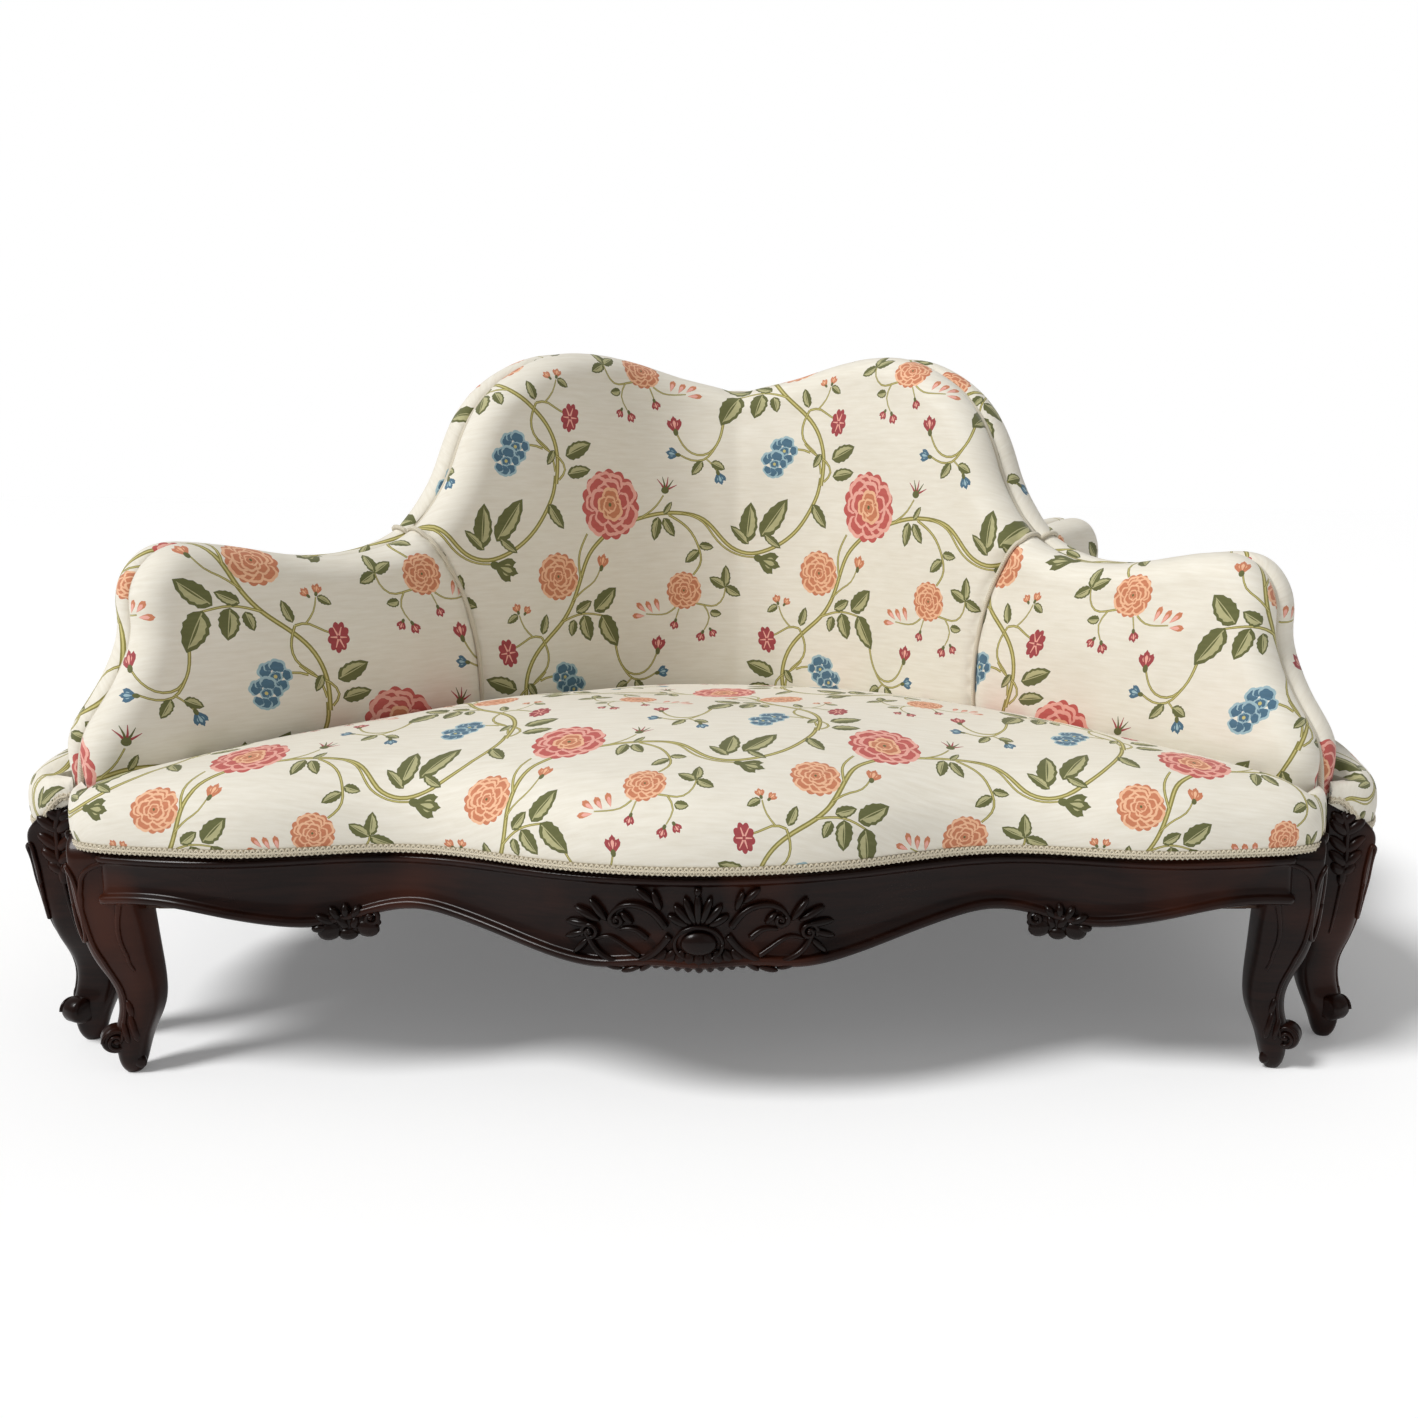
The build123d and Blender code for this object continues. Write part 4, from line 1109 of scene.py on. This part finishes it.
for z, x, y, wide, deep, square in leg_rows:
    c, s = np.cos(leg_angle), np.sin(leg_angle)
    leg_rings.append(np.column_stack([x + wide / 2 * np.sign(c) * np.abs(c) ** (2 / square),
                                      y + deep / 2 * np.sign(s) * np.abs(s) ** (2 / square),
                                      np.full(len(leg_angle), z)]))
leg_body = loft(leg_rings)
leg_tree = BVHTree.FromPolygons([Vector(p) for p in leg_body[0]], leg_body[1])


def on_leg(places, out=0.0):
    """The nearest places on the leg, moved out of it, and the ways out."""
    found = [leg_tree.find_nearest(Vector(p)) for p in places]
    normals = np.array([f[1] for f in found])
    return np.array([f[0] for f in found]) + normals * out, normals


BESIDE_LEG, BEFORE_LEG = 800.0, -900.0  # x and y from which its outer side and its front are nearest


def leg_strand(points, radius, end, step=4, side=False):
    """A raised, tapering strand over x, z points of the leg's front or y, z points of its outer side."""
    across, up = curve_through(points, step).T
    far = np.full(len(up), BESIDE_LEG if side else BEFORE_LEG)
    place, _ = on_leg(np.column_stack([far, across, up] if side else [across, far, up]), 0.8)
    return tube(place, np.linspace(radius, end, len(up)))


def leg_bump(place, way, long, wide, high):
    """An egg-shaped bump on the leg, lying along a way."""
    (centre,), (out,) = on_leg([place])
    way = np.asarray(way, float) - out * (np.asarray(way) @ out)
    way /= np.linalg.norm(way)
    return bump(centre, way * long, np.cross(out, way) * wide, out * high)


leg_parts = [leg_body,
             leg_strand([(700, 290), (728, 284), (752, 268), (763, 240), (767, 205), (762, 170), (752, 140),
                         (741, 110), (738, 80), (742, 50)], 3.6, 2.2),
             leg_strand([(702, 241), (712, 230), (719, 210), (722, 188), (717, 160), (706, 130)], 4.2, 1.6)]
# the oval panel on the outer front corner of the knee
oval = np.linspace(0, 2 * math.pi, 41)
across = 13 * np.cos(oval)
panel = np.column_stack([775 + across * 0.82, -872 + across * 0.57, 229 + 52 * np.sin(oval)])
leg_parts.append(tube(on_leg(panel, 1.5)[0], 2.6))
# acanthus on the outer side of the shoulder, and the ridge that runs down from it
leg_parts.append(leg_strand([(-826, 330), (-834, 300), (-836, 262), (-832, 228), (-827, 190), (-824, 150)],
                            5, 1.6, step=3, side=True))
for y, z, size in ((-828, 322, 12), (-833, 304, 17), (-836, 285, 18), (-835, 266, 16), (-833, 250, 12)):
    for hand in (-1, 1):
        leg_parts.append(leg_bump((BESIDE_LEG, y + hand * size * 0.62, z), (0, hand, 0.9), size, 7.5, 6.5))
leg_parts.append(leg_bump((BESIDE_LEG, -832, 240), (0, 0, 1), 15, 7, 6))
# the scroll of the toe, its eye turned in from the front, and small leaves above it
TOE_TURN, UP = math.radians(28), np.array([0, 0, 1])
toe_way = np.array([-math.sin(TOE_TURN), -math.cos(TOE_TURN), 0])
toe_across = np.array([-toe_way[1], toe_way[0], 0])
toe = np.array([750.0, -846.0, 46.0])
toe_angle = around(28)[:, None]
toe_rings = [toe + toe_way * out + (toe_across * np.cos(toe_angle) + UP * np.sin(toe_angle)) * radius
             for out, radius in ((-15, 10), (-14, 15), (-9, 17.5), (8, 17.5), (13, 15.5), (14.5, 11),
                                 (12.5, 9))]
leg_parts.append(loft(toe_rings))
wind = np.linspace(0, 3.2 * math.pi, 44)[:, None]
spiral = (toe + toe_way * np.linspace(13.5, 16, 44)[:, None]
          + (toe_across * np.cos(wind) + UP * np.sin(wind)) * np.linspace(16, 3.5, 44)[:, None])
leg_parts.append(tube(spiral, 2.3, 7))
leg_parts.append(bump(toe + toe_way * 14, toe_across * 4.5, (0, 0, 4.5), toe_way * 4.5))
for x, z, long in ((722, 74, 16), (733, 66, 15), (712, 62, 13), (727, 92, 12)):
    leg_parts.append(leg_bump((x, BEFORE_LEG, z), (0.25, 0, 1), long, 4.4, 4.2))
leg_parts.append(bump((724, -846, 17), (9, 0, 3), (0, 8, 0), (0, 0, 11)))
leg = joined(leg_parts)
stand_solid("cabriole_leg_right", leg, mahogany, "mahogany", replaced="leg_right")
stand_solid("cabriole_leg_left", mirror_image(leg), mahogany, "mahogany", replaced="leg_left")


# ---------------------------------------------------------------- the frame's own pieces that stay in sight
side_rails = [f"{section}_side_rail_{hand}" for section in SECTIONS for hand in ("right", "left")]
wall_frames = [f"{section}_wall_frame_{hand}" for section in SECTIONS for hand in ("right", "left")]
for names, material in (([*side_rails, "corner_posts", "inner_rails", "packing_blocks"], stained_beech),
                        ([*wall_frames, "coupling_spacers"], beech), (["seat_springs"], calico),
                        (["seat_webbing"], jute), (["dust_covers"], black_cloth),
                        (["block_screws", "coupling_bolts"], steel)):
    for name in names:
        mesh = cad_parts[name].data
        if not mesh.materials:
            mesh.materials.append(material)
        for i in range(len(mesh.materials)):
            mesh.materials[i] = material


# ---------------------------------------------------------------- the covered cap over the four posts
CAP_RINGS = ((50, 872), (58, 882), (60, 886.5), (57, 890), (48, 892.5), (33, 894), (16, 895), (4, 895.2))
cap_plan = np.column_stack([np.cos(around(64)), np.sin(around(64))])
cap_plan = np.sign(cap_plan) * np.sqrt(np.abs(cap_plan))  # a square with rounded corners
cap_rings = [np.column_stack([cap_plan * half, np.full(64, z)]) for half, z in CAP_RINGS]
cap = bpy.data.objects.new("centre_cap", solid_mesh("centre_cap", loft(cap_rings), piping_cloth))
bpy.context.collection.objects.link(cap)
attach(cap, "root")


# ---------------------------------------------------------------- floor, light and camera
floor_material, _ = finish("white_floor", "#F7F7F7", Roughness=0.9, Emission_Color=linear("#FFFFFF"),
                           Emission_Strength=0.14)

bpy.ops.mesh.primitive_plane_add(size=60)
floor = bpy.context.object
floor.name = "studio_floor"
floor.data.materials.append(floor_material)

world = bpy.data.worlds.new("studio")
bpy.context.scene.world = world
world.use_nodes = True
sky = world.node_tree.nodes["Background"]
sky.inputs["Color"].default_value = linear("#FFFFFF")
seen = node(world, "LightPath")
node(world, "MapRange", [("Value", seen, "Is Camera Ray")], (sky, "Strength", "Result"), To_Min=0.3,
     To_Max=1.0)


def sun(name, towards, strength, spread):
    """A far lamp that shines in a direction, softened over so many degrees."""
    lamp = bpy.data.lights.new(name, "SUN")
    lamp.energy, lamp.angle = strength, math.radians(spread)
    holder = bpy.data.objects.new(name, lamp)
    holder.rotation_euler = Vector(towards).to_track_quat("-Z", "Y").to_euler()
    bpy.context.collection.objects.link(holder)


sun("key", (0.72, 0.42, -1.0), 2.6, 20)
sun("fill", (-0.8, 0.9, -0.7), 0.15, 50)

# the camera's place in mm, its turn to the right, down and clockwise in degrees, and its lens
CAMERA, YAW, PITCH, ROLL = (151.8, -2544.3, 760.0), 2.02, 11.54, 0.63
LENS, SENSOR, SHIFT_X, SHIFT_Y = 35.54, 36, -0.119, 0.034
yaw, pitch, roll = (math.radians(v) for v in (YAW, PITCH, ROLL))
forward = Vector((math.sin(yaw) * math.cos(pitch), math.cos(yaw) * math.cos(pitch), -math.sin(pitch)))
level = Vector((math.cos(yaw), -math.sin(yaw), 0))
upright = level.cross(forward)
right = level * math.cos(roll) + upright * math.sin(roll)
up = upright * math.cos(roll) - level * math.sin(roll)
lens = bpy.data.cameras.new("camera")
lens.lens, lens.sensor_width, lens.shift_x, lens.shift_y = LENS, SENSOR, SHIFT_X, SHIFT_Y
camera = bpy.data.objects.new("camera", lens)
camera.matrix_world = Matrix((right, up, -forward)).transposed().to_4x4()
camera.location = Vector(CAMERA) * MM
bpy.context.collection.objects.link(camera)
bpy.context.scene.camera = camera
bpy.context.scene.view_settings.view_transform = "Standard"
